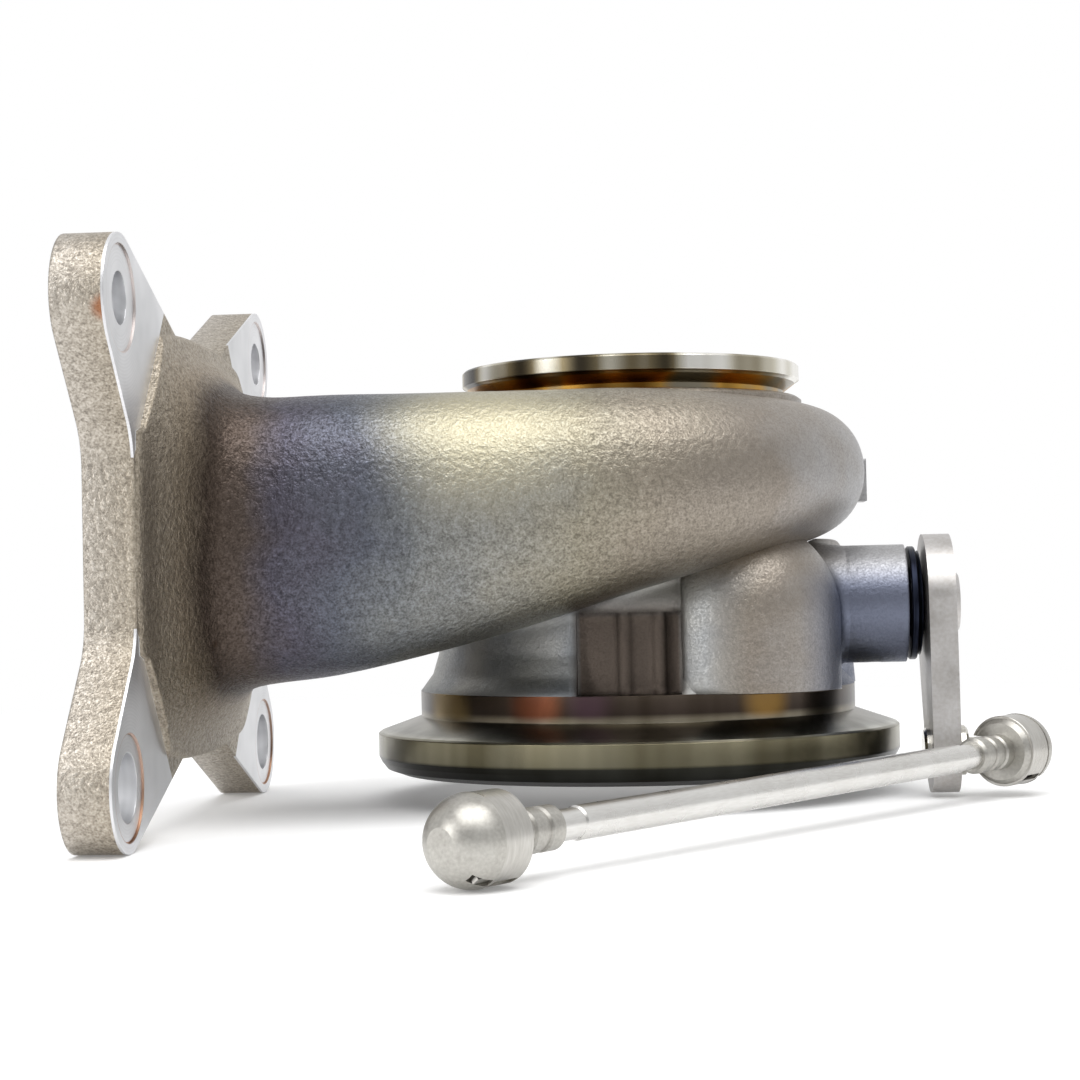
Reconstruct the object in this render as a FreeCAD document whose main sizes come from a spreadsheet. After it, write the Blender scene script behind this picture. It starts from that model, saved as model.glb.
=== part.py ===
import FreeCAD, Part
import math
import os
import Sketcher
from FreeCAD import Placement, Rotation, Vector

# Turbine housing of a turbocharger, with its internal wastegate, lever and actuator link.
# The frame: origin on the turbine axis at the outlet face, +Z up the turbine axis to the
# bearing housing, +X along the gas from the inlet flange to the wastegate lever, +Y away
# from the side that is usually seen. Every length is in millimetres.

doc = FreeCAD.newDocument("wastegated_turbine_housing")
sheet = doc.addObject("Spreadsheet::Sheet", "sizes")
values = {}


def dimension(alias, value, meaning):
    """Put one driving dimension in the next row of the sheet."""
    row = len(values) + 1
    sheet.set("A%d" % row, meaning)
    sheet.set("B%d" % row, "%s" % value)
    sheet.setAlias("B%d" % row, alias)
    values[alias] = float(value)


def size(alias):
    return values[alias]


# Inlet flange
dimension("flange_back_x", -75.5, "inlet flange, machined back face")
dimension("flange_thickness", 8.5, "inlet flange thickness")
dimension("flange_centre_y", -41.0, "inlet centre line, across")
dimension("flange_centre_z", 43.1, "inlet centre line, height")
dimension("bolt_span_wide", 102.0, "inlet bolt spacing along Y")
dimension("bolt_span_high", 76.0, "inlet bolt spacing along Z")
dimension("lobe_radius", 10.2, "bolt lobe outer radius")
dimension("upper_hole_diameter", 8.4, "upper bolt holes")
dimension("lower_hole_diameter", 11.0, "lower bolt holes")
dimension("spotface_diameter", 17.0, "spot face round each bolt hole")
dimension("spotface_depth", 0.35, "spot face below the milled facet")
dimension("waist_half_width", 45.2, "flange side edge from the centre line")
dimension("waist_flat_half", 16.0, "half of the straight side edge")
dimension("valley_half_height", 35.4, "top and bottom edge from the centre line")
dimension("valley_half_width", 15.0, "half of the straight top edge")
dimension("corner_fillet", 11.0, "cast fillet between lobe and waist")

# Inlet passage and volute
dimension("cast_wall", 4.0, "cast wall thickness")
dimension("inlet_half_width", 22.0, "inlet tube outside, half across")
dimension("volute_top", 69.4, "flat top of the inlet tube")
dimension("inlet_bottom", 18.8, "underside of the tube at the flange")
dimension("throat_bottom", 33.3, "underside of the tube where the spiral starts")
dimension("throat_half_width", 17.8, "half across where the spiral starts")
dimension("spiral_far_radius", 24.5, "radius that the section centres wind in to")
dimension("spiral_radius_fade", 120.0, "angle over which they wind in")
dimension("spiral_far_half", 11.0, "section half height that the first part shrinks to")
dimension("spiral_half_fade", 70.0, "angle over which it shrinks")
dimension("spiral_full_turn", 900.0, "angle at which a steady shrink would reach nothing")
dimension("spiral_top_drop", 3.5, "fall of the top of the spiral below the flat")
dimension("spiral_drop_fade", 120.0, "angle over which the top falls")
dimension("spiral_end_angle", 325.0, "angle at which the spiral runs out")
dimension("neck_flare", 12.0, "length of the flared neck behind the flange")
dimension("facet_reach_wide", 41.2, "milled facet edge from the centre line, across")
dimension("facet_reach_low", 18.5, "height of that end of the edge")
dimension("facet_reach_in", 25.1, "other end of the edge, across")
dimension("facet_reach_high", 38.0, "height of that other end")

# Centre of the casting
dimension("wheel_radius", 24.4, "bore round the turbine wheel at its widest")
dimension("exducer_radius", 20.5, "bore round the turbine wheel at its outlet")
dimension("nozzle_low", 57.5, "lower wall of the slot that feeds the wheel")
dimension("nozzle_high", 65.5, "upper wall of the slot that feeds the wheel")
dimension("shroud_wall", 3.2, "wall between the spiral and the wheel")
dimension("plate_radius", 33.0, "cast disc under the bearing-housing flange")
dimension("plate_top", 70.3, "top of that disc")

# Bearing-housing flange
dimension("bearing_flange_top", 76.6, "joint face height")
dimension("bearing_flange_radius", 32.6, "rim radius")
dimension("bearing_rim_height", 3.2, "rim height")
dimension("bearing_neck_radius", 29.6, "bottom of the clamp groove")
dimension("pilot_radius", 26.0, "pilot bore for the bearing housing")
dimension("pilot_depth", 5.2, "depth of the pilot bore")

# Outlet flange
dimension("outlet_face_radius", 46.0, "outlet face outer radius")
dimension("outlet_rim_radius", 50.1, "rim radius")
dimension("outlet_rim_low", 3.2, "lower edge of the rim")
dimension("outlet_rim_high", 7.9, "upper edge of the rim")
dimension("outlet_neck_radius", 41.8, "bottom of the clamp groove")
dimension("outlet_neck_low", 10.6, "lower end of the groove")
dimension("outlet_neck_high", 15.4, "upper end of the groove, where the cast body starts")
dimension("outlet_bore_radius", 39.0, "outlet bore")

# Outlet chamber
dimension("chamber_foot_radius", 41.4, "outside of the chamber at its foot")
dimension("chamber_mid_radius", 38.2, "outside of the chamber at its waist")
dimension("chamber_mid_height", 22.5, "height of that waist")
dimension("chamber_top_radius", 33.5, "outside of the chamber where it meets the spiral")
dimension("chamber_top_height", 42.0, "height of that joint")
dimension("chamber_room_radius", 33.0, "inside of the chamber")
dimension("chamber_roof_radius", 30.0, "inside of the chamber at its roof")
dimension("chamber_roof", 36.5, "roof of the chamber inside")
dimension("recess_half_width", 9.3, "cast recess in the front, half across")
dimension("recess_floor_radius", 35.9, "floor of the recess from the turbine axis")
dimension("recess_top", 30.0, "top of the recess")
dimension("recess_rib_radius", 1.3, "cast rib in the recess")
dimension("side_pad_x", 44.8, "cast pad on the outside of the spiral, outer face")
dimension("side_pad_height", 54.0, "centre height of that pad")

# Wastegate
dimension("gate_x", 20.0, "wastegate port centre, X")
dimension("gate_y", -24.0, "wastegate port centre, Y")
dimension("gate_seat_height", 38.0, "valve seat face height")
dimension("gate_port_radius", 6.5, "wastegate port")
dimension("gate_room_radius", 12.0, "space round the flap")
dimension("gate_bulge_radius", 17.6, "cast bulge round the wastegate")
dimension("gate_bulge_height", 28.5, "centre height of the bulge")
dimension("spindle_y", -10.4, "spindle axis, Y")
dimension("spindle_z", 30.4, "spindle axis, height")
dimension("boss_radius", 11.0, "bushing boss outside")
dimension("boss_end_x", 50.8, "outer face of the boss")
dimension("bushing_radius", 6.8, "bushing outside")
dimension("bushing_start_x", 33.0, "inner end of the bushing")
dimension("bushing_stand_out", 0.6, "bushing past the boss face")
dimension("spindle_radius", 4.4, "spindle")
dimension("running_clearance", 0.05, "radial running clearance")
dimension("bushing_pin_radius", 1.5, "pin that holds the bushing")
dimension("bushing_pin_x", 45.0, "place of that pin along the boss")
dimension("arm_half_width", 6.0, "crank arm, half along the spindle")
dimension("arm_hub_radius", 5.6, "crank hub round the spindle axis")
dimension("end_play", 0.2, "end play of the spindle")
dimension("arm_thickness", 6.4, "crank arm under the flap")
dimension("flap_radius", 8.6, "valve flap")
dimension("flap_thickness", 3.6, "valve flap")
dimension("flap_stem_radius", 3.0, "stem of the flap")
dimension("flap_play", 0.25, "play between arm and flap")
dimension("retainer_radius", 5.6, "retaining washer on the stem")
dimension("retainer_thickness", 1.6, "retaining washer on the stem")
dimension("disc_spring_thickness", 0.8, "disc spring under the retaining washer")
dimension("thrust_ring_width", 1.6, "thrust ring at the inner end of the bushing")
dimension("seal_ring_radius", 10.6, "seal ring outside the boss")
dimension("seal_ring_width", 1.3, "seal ring outside the boss")

# Lever
dimension("lever_inner_x", 54.2, "lever, face towards the boss")
dimension("lever_thickness", 5.0, "lever")
dimension("lever_eye_radius", 12.8, "lever, end at the spindle")
dimension("lever_tip_radius", 7.7, "lever, end at the ball stud")
dimension("lever_length", 28.0, "lever, centre to centre")
dimension("lever_lean", 14.0, "lean of the lever from plumb, degrees")
dimension("weld_radius", 6.2, "weld bead round the spindle end")
dimension("weld_height", 1.7, "weld bead past the lever")

# Link and ball joints
dimension("ball_radius", 5.0, "ball of the stud")
dimension("ball_reach", 10.5, "ball centre from the lever face")
dimension("stud_neck_radius", 2.4, "neck between ball and lever")
dimension("stud_collar_radius", 4.6, "collar that sits on the lever")
dimension("stud_collar_width", 1.8, "collar that sits on the lever")
dimension("link_length", 147.6, "link, ball centre to ball centre")
dimension("link_heading", 53.8, "heading of the link from +X towards +Y, degrees")
dimension("link_rise", 0.7, "rise of the link towards the lever, degrees")
dimension("dome_radius", 6.5, "dome of the socket")
dimension("dome_flat_radius", 2.35, "flat at the apex of the dome")
dimension("dome_offset", 0.3, "centre of the dome past the ball centre")
dimension("socket_clearance", 0.05, "ball in its socket, radial")
dimension("band_inner_radius", 5.95, "retaining band, inside")
dimension("band_thickness", 0.45, "retaining band sheet")
dimension("band_width", 5.6, "retaining band along the rod")
dimension("mouth_half_height", 3.4, "mouth of the socket, half along the rod")
dimension("mouth_half_width", 2.7, "mouth of the socket, half across the rod")
dimension("mouth_tilt", 38.0, "tilt that the mouth leaves to the stud, degrees")
dimension("slit_width", 1.5, "slit at the lower side of the socket")
dimension("tongue_play", 0.15, "play between the spring tongue and the slit")
dimension("shank_radius", 3.2, "crimped shank")
dimension("shank_length", 10.0, "crimped shank")
dimension("crimp_width", 1.5, "one pressed crimp ring")
dimension("crimp_depth", 0.35, "one pressed crimp ring")
dimension("rod_neck_radius", 2.25, "neck of the rod beside the shank")
dimension("rod_neck_length", 5.0, "neck of the rod beside the shank")
dimension("rod_radius", 2.5, "rod")
dimension("rod_spigot_radius", 1.8, "spigot of the rod in the shank")
dimension("rod_spigot_length", 8.0, "spigot of the rod in the shank")

doc.recompute()

PARTS = []
UP = Vector(0, 0, 1)
ALONG_X = Rotation(Vector(0, 1, 0), 90)


def bind(item, **formulas):
    """Bind properties to formulas over the sheet; a double underscore stands for a dot."""
    for name, formula in formulas.items():
        item.setExpression(name.replace("__", "."), formula)
    return item


def place(item, x="0 mm", y="0 mm", z="0 mm"):
    return bind(item, Placement__Base__x=x, Placement__Base__y=y, Placement__Base__z=z)


def part(item, name):
    """Name a finished sub-part; its label is the name of its file."""
    item.Label = name
    PARTS.append(item)
    return item


def origin_plane(body, role):
    return [plane for plane in body.Origin.OriginFeatures if plane.Role == role][0]


def body_with_sketch(name, role):
    body = doc.addObject("PartDesign::Body", name)
    sketch = body.newObject("Sketcher::SketchObject", name + "_sketch")
    sketch.AttachmentSupport = [(origin_plane(body, role), "")]
    sketch.MapMode = "FlatFace"
    return body, sketch


def outline_sketch(sketch, points):
    """Draw a closed outline whose corners are formulas over the sheet, one pair each."""
    corners = []
    for across, along in points:
        corners.append(Vector(float(sketch.evalExpression(across)),
                              float(sketch.evalExpression(along)), 0))
    count = len(corners)
    for index in range(count):
        sketch.addGeometry(Part.LineSegment(corners[index], corners[(index + 1) % count]), False)
    for index in range(count):
        following = (index + 1) % count
        sketch.addConstraint(Sketcher.Constraint("Coincident", index, 2, following, 1))
    for index in range(count):
        for kind, formula, axis, value in (
                ("DistanceX", points[index][0], -2, corners[index].x),
                ("DistanceY", points[index][1], -1, corners[index].y)):
            if abs(value) < 1e-9:
                sketch.addConstraint(Sketcher.Constraint("PointOnObject", index, 1, axis))
            else:
                row = sketch.addConstraint(
                    Sketcher.Constraint(kind, -1, 1, index, 1, value))
                sketch.setExpression("Constraints[%d]" % row, formula)


def turned(name, points):
    """Turn an outline of (radius, height) formulas about the body's own Z axis."""
    body, sketch = body_with_sketch(name, "XZ_Plane")
    outline_sketch(sketch, points)
    turn = body.newObject("PartDesign::Revolution", name + "_turn")
    turn.Profile = sketch
    turn.ReferenceAxis = (sketch, ["V_Axis"])
    turn.Angle = 360.0
    body.Tip = turn
    return body


def padded(name, role, points, length, reverse=False):
    """Pad an outline of formulas square to one of the body's own origin planes."""
    body, sketch = body_with_sketch(name, role)
    outline_sketch(sketch, points)
    pad = body.newObject("PartDesign::Pad", name + "_pad")
    pad.Profile = sketch
    pad.Reversed = reverse
    pad.setExpression("Length", length)
    body.Tip = pad
    return body


def cylinder(name, radius, length):
    return bind(doc.addObject("Part::Cylinder", name), Radius=radius, Height=length)


def fuse(name, pieces):
    joined = doc.addObject("Part::MultiFuse", name)
    joined.Shapes = pieces
    joined.Refine = False
    return joined


def cut(name, base, tool):
    removed = doc.addObject("Part::Cut", name)
    removed.Base = base
    removed.Tool = tool
    removed.Refine = False
    return removed


def common(name, base, tool):
    kept = doc.addObject("Part::Common", name)
    kept.Base = base
    kept.Tool = tool
    return kept


def shaped(name, shape, placement=None):
    """Hold a shape made by a function, for forms that no sketch or primitive gives."""
    feature = doc.addObject("Part::Feature", name)
    feature.Shape = shape
    if placement:
        feature.Placement = placement
    return feature


def tangent_outline(circles):
    """Outline round two circles given as (centre, radius): two arcs and their tangents."""
    (first, first_radius), (second, second_radius) = circles
    along = second - first
    heading = math.atan2(along.y, along.x)
    lean = math.acos((first_radius - second_radius) / along.Length)

    def on(centre, radius, angle):
        return centre + Vector(radius * math.cos(angle), radius * math.sin(angle), 0)

    upper_first = on(first, first_radius, heading + lean)
    lower_first = on(first, first_radius, heading - lean)
    upper_second = on(second, second_radius, heading + lean)
    lower_second = on(second, second_radius, heading - lean)
    return [Part.Arc(upper_first, on(first, first_radius, heading + math.pi), lower_first),
            Part.LineSegment(lower_first, lower_second),
            Part.Arc(lower_second, on(second, second_radius, heading), upper_second),
            Part.LineSegment(upper_second, upper_first)]


# Inlet flange: four bolt lobes on a waisted plate. The outline is drawn one quadrant at a
# time: from the straight side, out round the lobe as a sharp corner that the lobe's own
# radius rounds, and back to the straight top.
def tangent_point(centre, radius, start, side):
    """Corner where the tangent from start touches a circle, on the side given by +1 or -1."""
    reach = centre - start
    angle = math.atan2(reach.y, reach.x) + side * math.asin(radius / reach.Length)
    length = math.sqrt(reach.Length ** 2 - radius ** 2)
    return start + Vector(math.cos(angle), math.sin(angle), 0) * length


def flange_outline():
    centre = Vector(size("flange_centre_y"), size("flange_centre_z"), 0)
    radius = size("lobe_radius")
    side_start = Vector(size("waist_half_width"), size("waist_flat_half"), 0)
    top_end = Vector(size("valley_half_width"), size("valley_half_height"), 0)
    lobe = Vector(size("bolt_span_wide") / 2, size("bolt_span_high") / 2, 0)
    side_touch = tangent_point(lobe, radius, side_start, -1)
    top_touch = tangent_point(lobe, radius, top_end, 1)
    outward = (side_touch - lobe + top_touch - lobe).normalize()
    crown = lobe + outward * radius
    fillet = size("corner_fillet")
    pieces = []
    quadrants = ((1, 1), (-1, 1), (-1, -1), (1, -1))
    loops = []
    for wide, high in quadrants:
        path = [side_start, side_touch, crown, top_touch, top_end]
        path = [centre + Vector(point.x * wide, point.y * high, 0) for point in path]
        loops.append(path if wide * high > 0 else path[::-1])
    for path, following in zip(loops, loops[1:] + loops[:1]):
        pieces.append(("tangent", path[0], path[1]))
        pieces.append(("lobe", path[1], path[2], path[3]))
        pieces.append(("tangent", path[3], path[4]))
        pieces.append(("straight", path[4], following[0]))
    edges = []
    count = len(pieces)
    ends = {}
    for index, piece in enumerate(pieces):
        if piece[0] != "lobe":
            ends[index] = [piece[1], piece[2]]
    for index in sorted(ends):
        following = (index + 1) % count
        if following not in ends:
            continue
        corner = ends[index][1]
        before = (ends[index][0] - corner).normalize()
        after = (ends[following][1] - corner).normalize()
        half = before.getAngle(after) / 2
        reach = fillet / math.tan(half)
        middle = (before + after).normalize()
        apex = corner + middle * (fillet / math.sin(half) - fillet)
        edges.append(Part.Arc(corner + before * reach, apex, corner + after * reach))
        ends[index][1] = corner + before * reach
        ends[following][0] = corner + after * reach
    for index, piece in enumerate(pieces):
        if piece[0] == "lobe":
            edges.append(Part.Arc(piece[1], piece[2], piece[3]))
        else:
            edges.append(Part.LineSegment(ends[index][0], ends[index][1]))
    return edges


def plate_from(name, role, edges, length, reverse=False):
    """Pad a closed set of arcs and lines."""
    body, sketch = body_with_sketch(name, role)
    for edge in edges:
        sketch.addGeometry(edge, False)
    pad = body.newObject("PartDesign::Pad", name + "_pad")
    pad.Profile = sketch
    pad.Reversed = reverse
    pad.setExpression("Length", length)
    body.Tip = pad
    return body


flange_plate = plate_from("flange_plate", "YZ_Plane", flange_outline(),
                          "sizes.flange_thickness", reverse=True)
place(flange_plate, x="sizes.flange_back_x")

SECTION_POLES = 16
POLE_SHRINK = (2 + math.cos(2 * math.pi / SECTION_POLES)) / 3


def section(centre, across, half_wide, half_high, squareness):
    """Smooth closed section; squareness 2 is an ellipse and more is a rounded box."""
    power = 2.0 / squareness
    poles = []
    for step in range(SECTION_POLES):
        angle = 2 * math.pi * step / SECTION_POLES
        wide = math.copysign(abs(math.cos(angle)) ** power, math.cos(angle)) * half_wide
        high = math.copysign(abs(math.sin(angle)) ** power, math.sin(angle)) * half_high
        poles.append(centre + (across * wide + UP * high) / POLE_SHRINK)
    curve = Part.BSplineCurve()
    curve.buildFromPolesMultsKnots(poles, [1] * (SECTION_POLES + 1),
                                   list(range(SECTION_POLES + 1)), True, 3)
    return Part.Wire(curve.toShape())


INLET_SQUARENESS = 2.8
THROAT_SQUARENESS = 2.2
NECK_SQUARENESS = 4.2
OUTWARD_AT_INLET = Vector(0, -1, 0)


def inlet_start():
    return size("flange_back_x") + size("neck_flare")


def inlet_section(along_x, inset):
    """Section of the straight inlet tube; its underside rises towards the spiral."""
    start = inlet_start()
    share = min(max((along_x - start) / -start, 0.0), 1.0)
    rise = share ** 1.4
    bottom = size("inlet_bottom") + (size("throat_bottom") - size("inlet_bottom")) * rise
    half_high = (size("volute_top") - bottom) / 2
    half_wide = size("inlet_half_width")
    half_wide += (size("throat_half_width") - half_wide) * share
    squareness = INLET_SQUARENESS + (THROAT_SQUARENESS - INLET_SQUARENESS) * share
    centre = Vector(along_x, size("flange_centre_y"), size("volute_top") - half_high)
    return section(centre, OUTWARD_AT_INLET, half_wide - inset, half_high - inset, squareness)


def spiral_section(angle, inset):
    """Section of the spiral at an angle in degrees round the turbine axis from the inlet."""
    throat_half = (size("volute_top") - size("throat_bottom")) / 2
    far_half = size("spiral_far_half")
    shrink = 1 - angle / size("spiral_full_turn")
    half = far_half + (throat_half - far_half) * math.exp(-angle / size("spiral_half_fade"))
    half *= shrink
    width = size("throat_half_width") / throat_half
    far = size("spiral_far_radius")
    radius = -size("flange_centre_y") - far
    radius = far + radius * math.exp(-angle / size("spiral_radius_fade"))
    drop = size("spiral_top_drop") * (1 - math.exp(-angle / size("spiral_drop_fade")))
    turn = math.radians(angle)
    outward = Vector(math.sin(turn), -math.cos(turn), 0)
    centre = outward * radius + UP * (size("volute_top") - drop - half)
    squareness = 2 + (THROAT_SQUARENESS - 2) * math.exp(-angle / size("spiral_half_fade"))
    return section(centre, outward, half * width - inset, half - inset, squareness)


SPIRAL_STEPS = 12
FIRST_HALF_STEPS = 6


def neck_section(share):
    """Section of the flare at a share of its length; it is hollow like a cast fillet."""
    flare = (1 - max(share, 0.0)) ** 2.2
    half_high = (size("volute_top") - size("inlet_bottom")) / 2
    height = size("volute_top") - half_high
    height += (size("flange_centre_z") - height) * flare
    half_high += (size("valley_half_height") + 0.8 - half_high) * flare
    half_wide = size("inlet_half_width")
    half_wide += (size("waist_half_width") - 0.4 - half_wide) * flare
    squareness = INLET_SQUARENESS + (NECK_SQUARENESS - INLET_SQUARENESS) * flare
    centre = Vector(size("flange_back_x") + size("neck_flare") * share,
                    size("flange_centre_y"), height)
    return section(centre, OUTWARD_AT_INLET, half_wide, half_high, squareness)


def tube_sections(inset):
    return [inlet_section(inlet_start() * share, inset) for share in (0.86, 0.65, 0.4, 0.2)]


def spiral_sections(first, last, inset):
    whole_turn = size("spiral_end_angle")
    return [spiral_section(whole_turn * step / SPIRAL_STEPS, inset)
            for step in range(first, last + 1)]


def inlet_half(first_sections, inset):
    """Solid of the inlet tube and the first half of the spiral."""
    sections = first_sections + tube_sections(inset)
    return Part.makeLoft(sections + spiral_sections(0, FIRST_HALF_STEPS, inset), True, False)


def closing_half(inset):
    """Solid of the second half of the spiral, which runs out beside the inlet tube."""
    return Part.makeLoft(spiral_sections(FIRST_HALF_STEPS, SPIRAL_STEPS, inset), True, False)


wall = size("cast_wall")
neck_sections = [neck_section(share) for share in (-0.05, 0.1, 0.26, 0.46, 0.7, 1.0)]
mouth_x = size("flange_back_x") - size("flange_thickness") - 1
mouth_sections = [inlet_section(mouth_x, wall), inlet_section(inlet_start(), wall)]
inlet_outside = shaped("inlet_outside", inlet_half(neck_sections, 0.0))
closing_outside = shaped("closing_outside", closing_half(0.0))
inlet_inside = shaped("inlet_inside", inlet_half(mouth_sections, wall))
closing_inside = shaped("closing_inside", closing_half(wall))

# Hub and bearing-housing flange, turned about the turbine axis. The clamp groove has one
# sloped flank that the band clamp pulls on.
hub = turned("hub", (
    ("0", "sizes.chamber_roof"),
    ("sizes.wheel_radius + 5", "sizes.chamber_roof"),
    ("sizes.wheel_radius + 5", "sizes.volute_top - 7"),
    ("sizes.plate_radius", "sizes.plate_top - 3.8"),
    ("sizes.plate_radius", "sizes.plate_top - 0.6"),
    ("sizes.plate_radius - 0.8", "sizes.plate_top"),
    ("sizes.bearing_neck_radius", "sizes.plate_top + 0.1"),
    ("sizes.bearing_neck_radius",
     "sizes.bearing_flange_top - sizes.bearing_rim_height - 1.9"),
    ("sizes.bearing_flange_radius - 0.5",
     "sizes.bearing_flange_top - sizes.bearing_rim_height"),
    ("sizes.bearing_flange_radius",
     "sizes.bearing_flange_top - sizes.bearing_rim_height + 0.3"),
    ("sizes.bearing_flange_radius", "sizes.bearing_flange_top - 0.4"),
    ("sizes.bearing_flange_radius - 0.4", "sizes.bearing_flange_top"),
    ("0", "sizes.bearing_flange_top")))

# Outlet flange and the outside of the outlet chamber
chamber = turned("chamber", (
    ("0", "0"),
    ("sizes.outlet_face_radius", "0"),
    ("(sizes.outlet_face_radius + sizes.outlet_rim_radius) / 2 + 0.6",
     "sizes.outlet_rim_low * 0.3"),
    ("sizes.outlet_rim_radius - 0.5", "sizes.outlet_rim_low * 0.7"),
    ("sizes.outlet_rim_radius", "sizes.outlet_rim_low"),
    ("sizes.outlet_rim_radius", "sizes.outlet_rim_high - 0.4"),
    ("sizes.outlet_rim_radius - 0.5", "sizes.outlet_rim_high"),
    ("sizes.outlet_neck_radius", "sizes.outlet_neck_low"),
    ("sizes.outlet_neck_radius", "sizes.outlet_neck_high"),
    ("sizes.chamber_foot_radius", "sizes.outlet_neck_high + 0.5"),
    ("sizes.chamber_foot_radius - 2", "sizes.outlet_neck_high + 3.2"),
    ("sizes.chamber_mid_radius", "sizes.chamber_mid_height"),
    ("sizes.chamber_mid_radius - 0.2", "sizes.chamber_mid_height + 10"),
    ("sizes.chamber_top_radius", "sizes.chamber_top_height"),
    ("0", "sizes.chamber_top_height")))

# Cast bulge round the wastegate, cut off level at the clamp groove
bulge_ball = place(bind(doc.addObject("Part::Sphere", "bulge_ball"),
                        Radius="sizes.gate_bulge_radius"),
                   x="sizes.gate_x", y="sizes.gate_y", z="sizes.gate_bulge_height")
bulge_limit = place(cylinder("bulge_limit", "sizes.outlet_rim_radius", "sizes.chamber_roof"),
                    z="sizes.outlet_neck_high + 0.2")
bulge = common("bulge", bulge_ball, bulge_limit)

# Boss of the spindle bushing, along X
boss = cylinder("boss", "sizes.boss_radius", "sizes.boss_end_x - sizes.gate_x")
boss.Placement = Placement(Vector(), ALONG_X)
place(boss, x="sizes.gate_x", y="sizes.spindle_y", z="sizes.spindle_z")

# Small cast pad on the outside of the spiral
SIDE_PAD_WIDE = 9.0
SIDE_PAD_HIGH = 8.0
SIDE_PAD_DEEP = 8.0
side_pad = bind(doc.addObject("Part::Box", "side_pad"),
                Length="%s" % SIDE_PAD_DEEP, Width="%s" % SIDE_PAD_WIDE,
                Height="%s" % SIDE_PAD_HIGH)
place(side_pad, x="sizes.side_pad_x - %s" % SIDE_PAD_DEEP, y="-%s / 2" % SIDE_PAD_WIDE,
      z="sizes.side_pad_height - %s / 2" % SIDE_PAD_HIGH)

cast_outside = fuse("cast_outside", [flange_plate, inlet_outside, closing_outside, hub,
                                     chamber, bulge, boss, side_pad])

# Wall between the spiral and the wheel, put back after the spiral is hollowed
shroud = turned("shroud", (
    ("0", "sizes.chamber_roof"),
    ("sizes.wheel_radius + sizes.shroud_wall", "sizes.chamber_roof"),
    ("sizes.wheel_radius + sizes.shroud_wall", "sizes.nozzle_low - 1"),
    ("sizes.wheel_radius + sizes.shroud_wall - 1", "sizes.nozzle_low"),
    ("0", "sizes.nozzle_low")))

gas_way_inside = fuse("gas_way_inside", [inlet_inside, closing_inside])
hollow_casting = fuse("hollow_casting",
                      [cut("casting_with_gas_way", cast_outside, gas_way_inside), shroud])

# Everything that is machined or cored out about the turbine axis
wheel_bore = turned("wheel_bore", (
    ("0", "-1"),
    ("sizes.outlet_bore_radius", "-1"),
    ("sizes.outlet_bore_radius", "sizes.outlet_rim_high - 1.5"),
    ("sizes.chamber_room_radius", "sizes.outlet_neck_high - 2"),
    ("sizes.chamber_room_radius", "sizes.chamber_mid_height + 2"),
    ("sizes.chamber_roof_radius", "sizes.chamber_roof"),
    ("sizes.exducer_radius", "sizes.chamber_roof"),
    ("sizes.exducer_radius", "sizes.nozzle_low - 10"),
    ("sizes.wheel_radius", "sizes.nozzle_low - 1"),
    ("sizes.wheel_radius", "sizes.bearing_flange_top - sizes.pilot_depth"),
    ("sizes.pilot_radius", "sizes.bearing_flange_top - sizes.pilot_depth"),
    ("sizes.pilot_radius", "sizes.bearing_flange_top + 1"),
    ("0", "sizes.bearing_flange_top + 1")))

gate_room = place(cylinder("gate_room", "sizes.gate_room_radius",
                           "sizes.gate_seat_height - sizes.outlet_neck_high - 1"),
                  x="sizes.gate_x", y="sizes.gate_y", z="sizes.outlet_neck_high + 1")
gate_port = place(cylinder("gate_port", "sizes.gate_port_radius", "13"),
                  x="sizes.gate_x", y="sizes.gate_y", z="sizes.gate_seat_height - 1")
bushing_bore = cylinder("bushing_bore", "sizes.bushing_radius",
                        "sizes.boss_end_x + 1 - sizes.gate_x")
bushing_bore.Placement = Placement(Vector(), ALONG_X)
place(bushing_bore, x="sizes.gate_x", y="sizes.spindle_y", z="sizes.spindle_z")
pin_bore = place(cylinder("pin_bore", "sizes.bushing_pin_radius",
                          "sizes.boss_radius"),
                 x="sizes.bushing_pin_x", y="sizes.spindle_y",
                 z="sizes.spindle_z - sizes.boss_radius - 1")


def facet_tools():
    """Cutters for the four milled facets, the spot faces and the bolt holes."""
    tools = []
    back = size("flange_back_x")
    depth = size("neck_flare") + 3
    for wide in (-1, 1):
        for high in (-1, 1):
            corners = [(size("facet_reach_wide"), size("facet_reach_low")),
                       (size("facet_reach_wide") + 30, size("facet_reach_low") - 8),
                       (size("facet_reach_wide") + 30, size("facet_reach_high") + 30),
                       (size("facet_reach_in") - 4, size("facet_reach_high") + 30),
                       (size("facet_reach_in"), size("facet_reach_high"))]
            points = [Vector(back, size("flange_centre_y") + wide * across,
                             size("flange_centre_z") + high * along)
                      for across, along in corners]
            face = Part.Face(Part.makePolygon(points + points[:1]))
            tools.append(face.extrude(Vector(depth, 0, 0)))
            hole = Vector(back - size("flange_thickness") - 1,
                          size("flange_centre_y") + wide * size("bolt_span_wide") / 2,
                          size("flange_centre_z") + high * size("bolt_span_high") / 2)
            bore = size("upper_hole_diameter" if high > 0 else "lower_hole_diameter") / 2
            tools.append(Part.makeCylinder(bore, depth, hole, Vector(1, 0, 0)))
            spot = Vector(back - size("spotface_depth"), hole.y, hole.z)
            tools.append(Part.makeCylinder(size("spotface_diameter") / 2, depth, spot,
                                           Vector(1, 0, 0)))
    return Part.makeCompound(tools)


facet_cutters = []
for number, solid in enumerate(facet_tools().Solids):
    facet_cutters.append(shaped("facet_cutter_%d" % number, solid))

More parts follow.
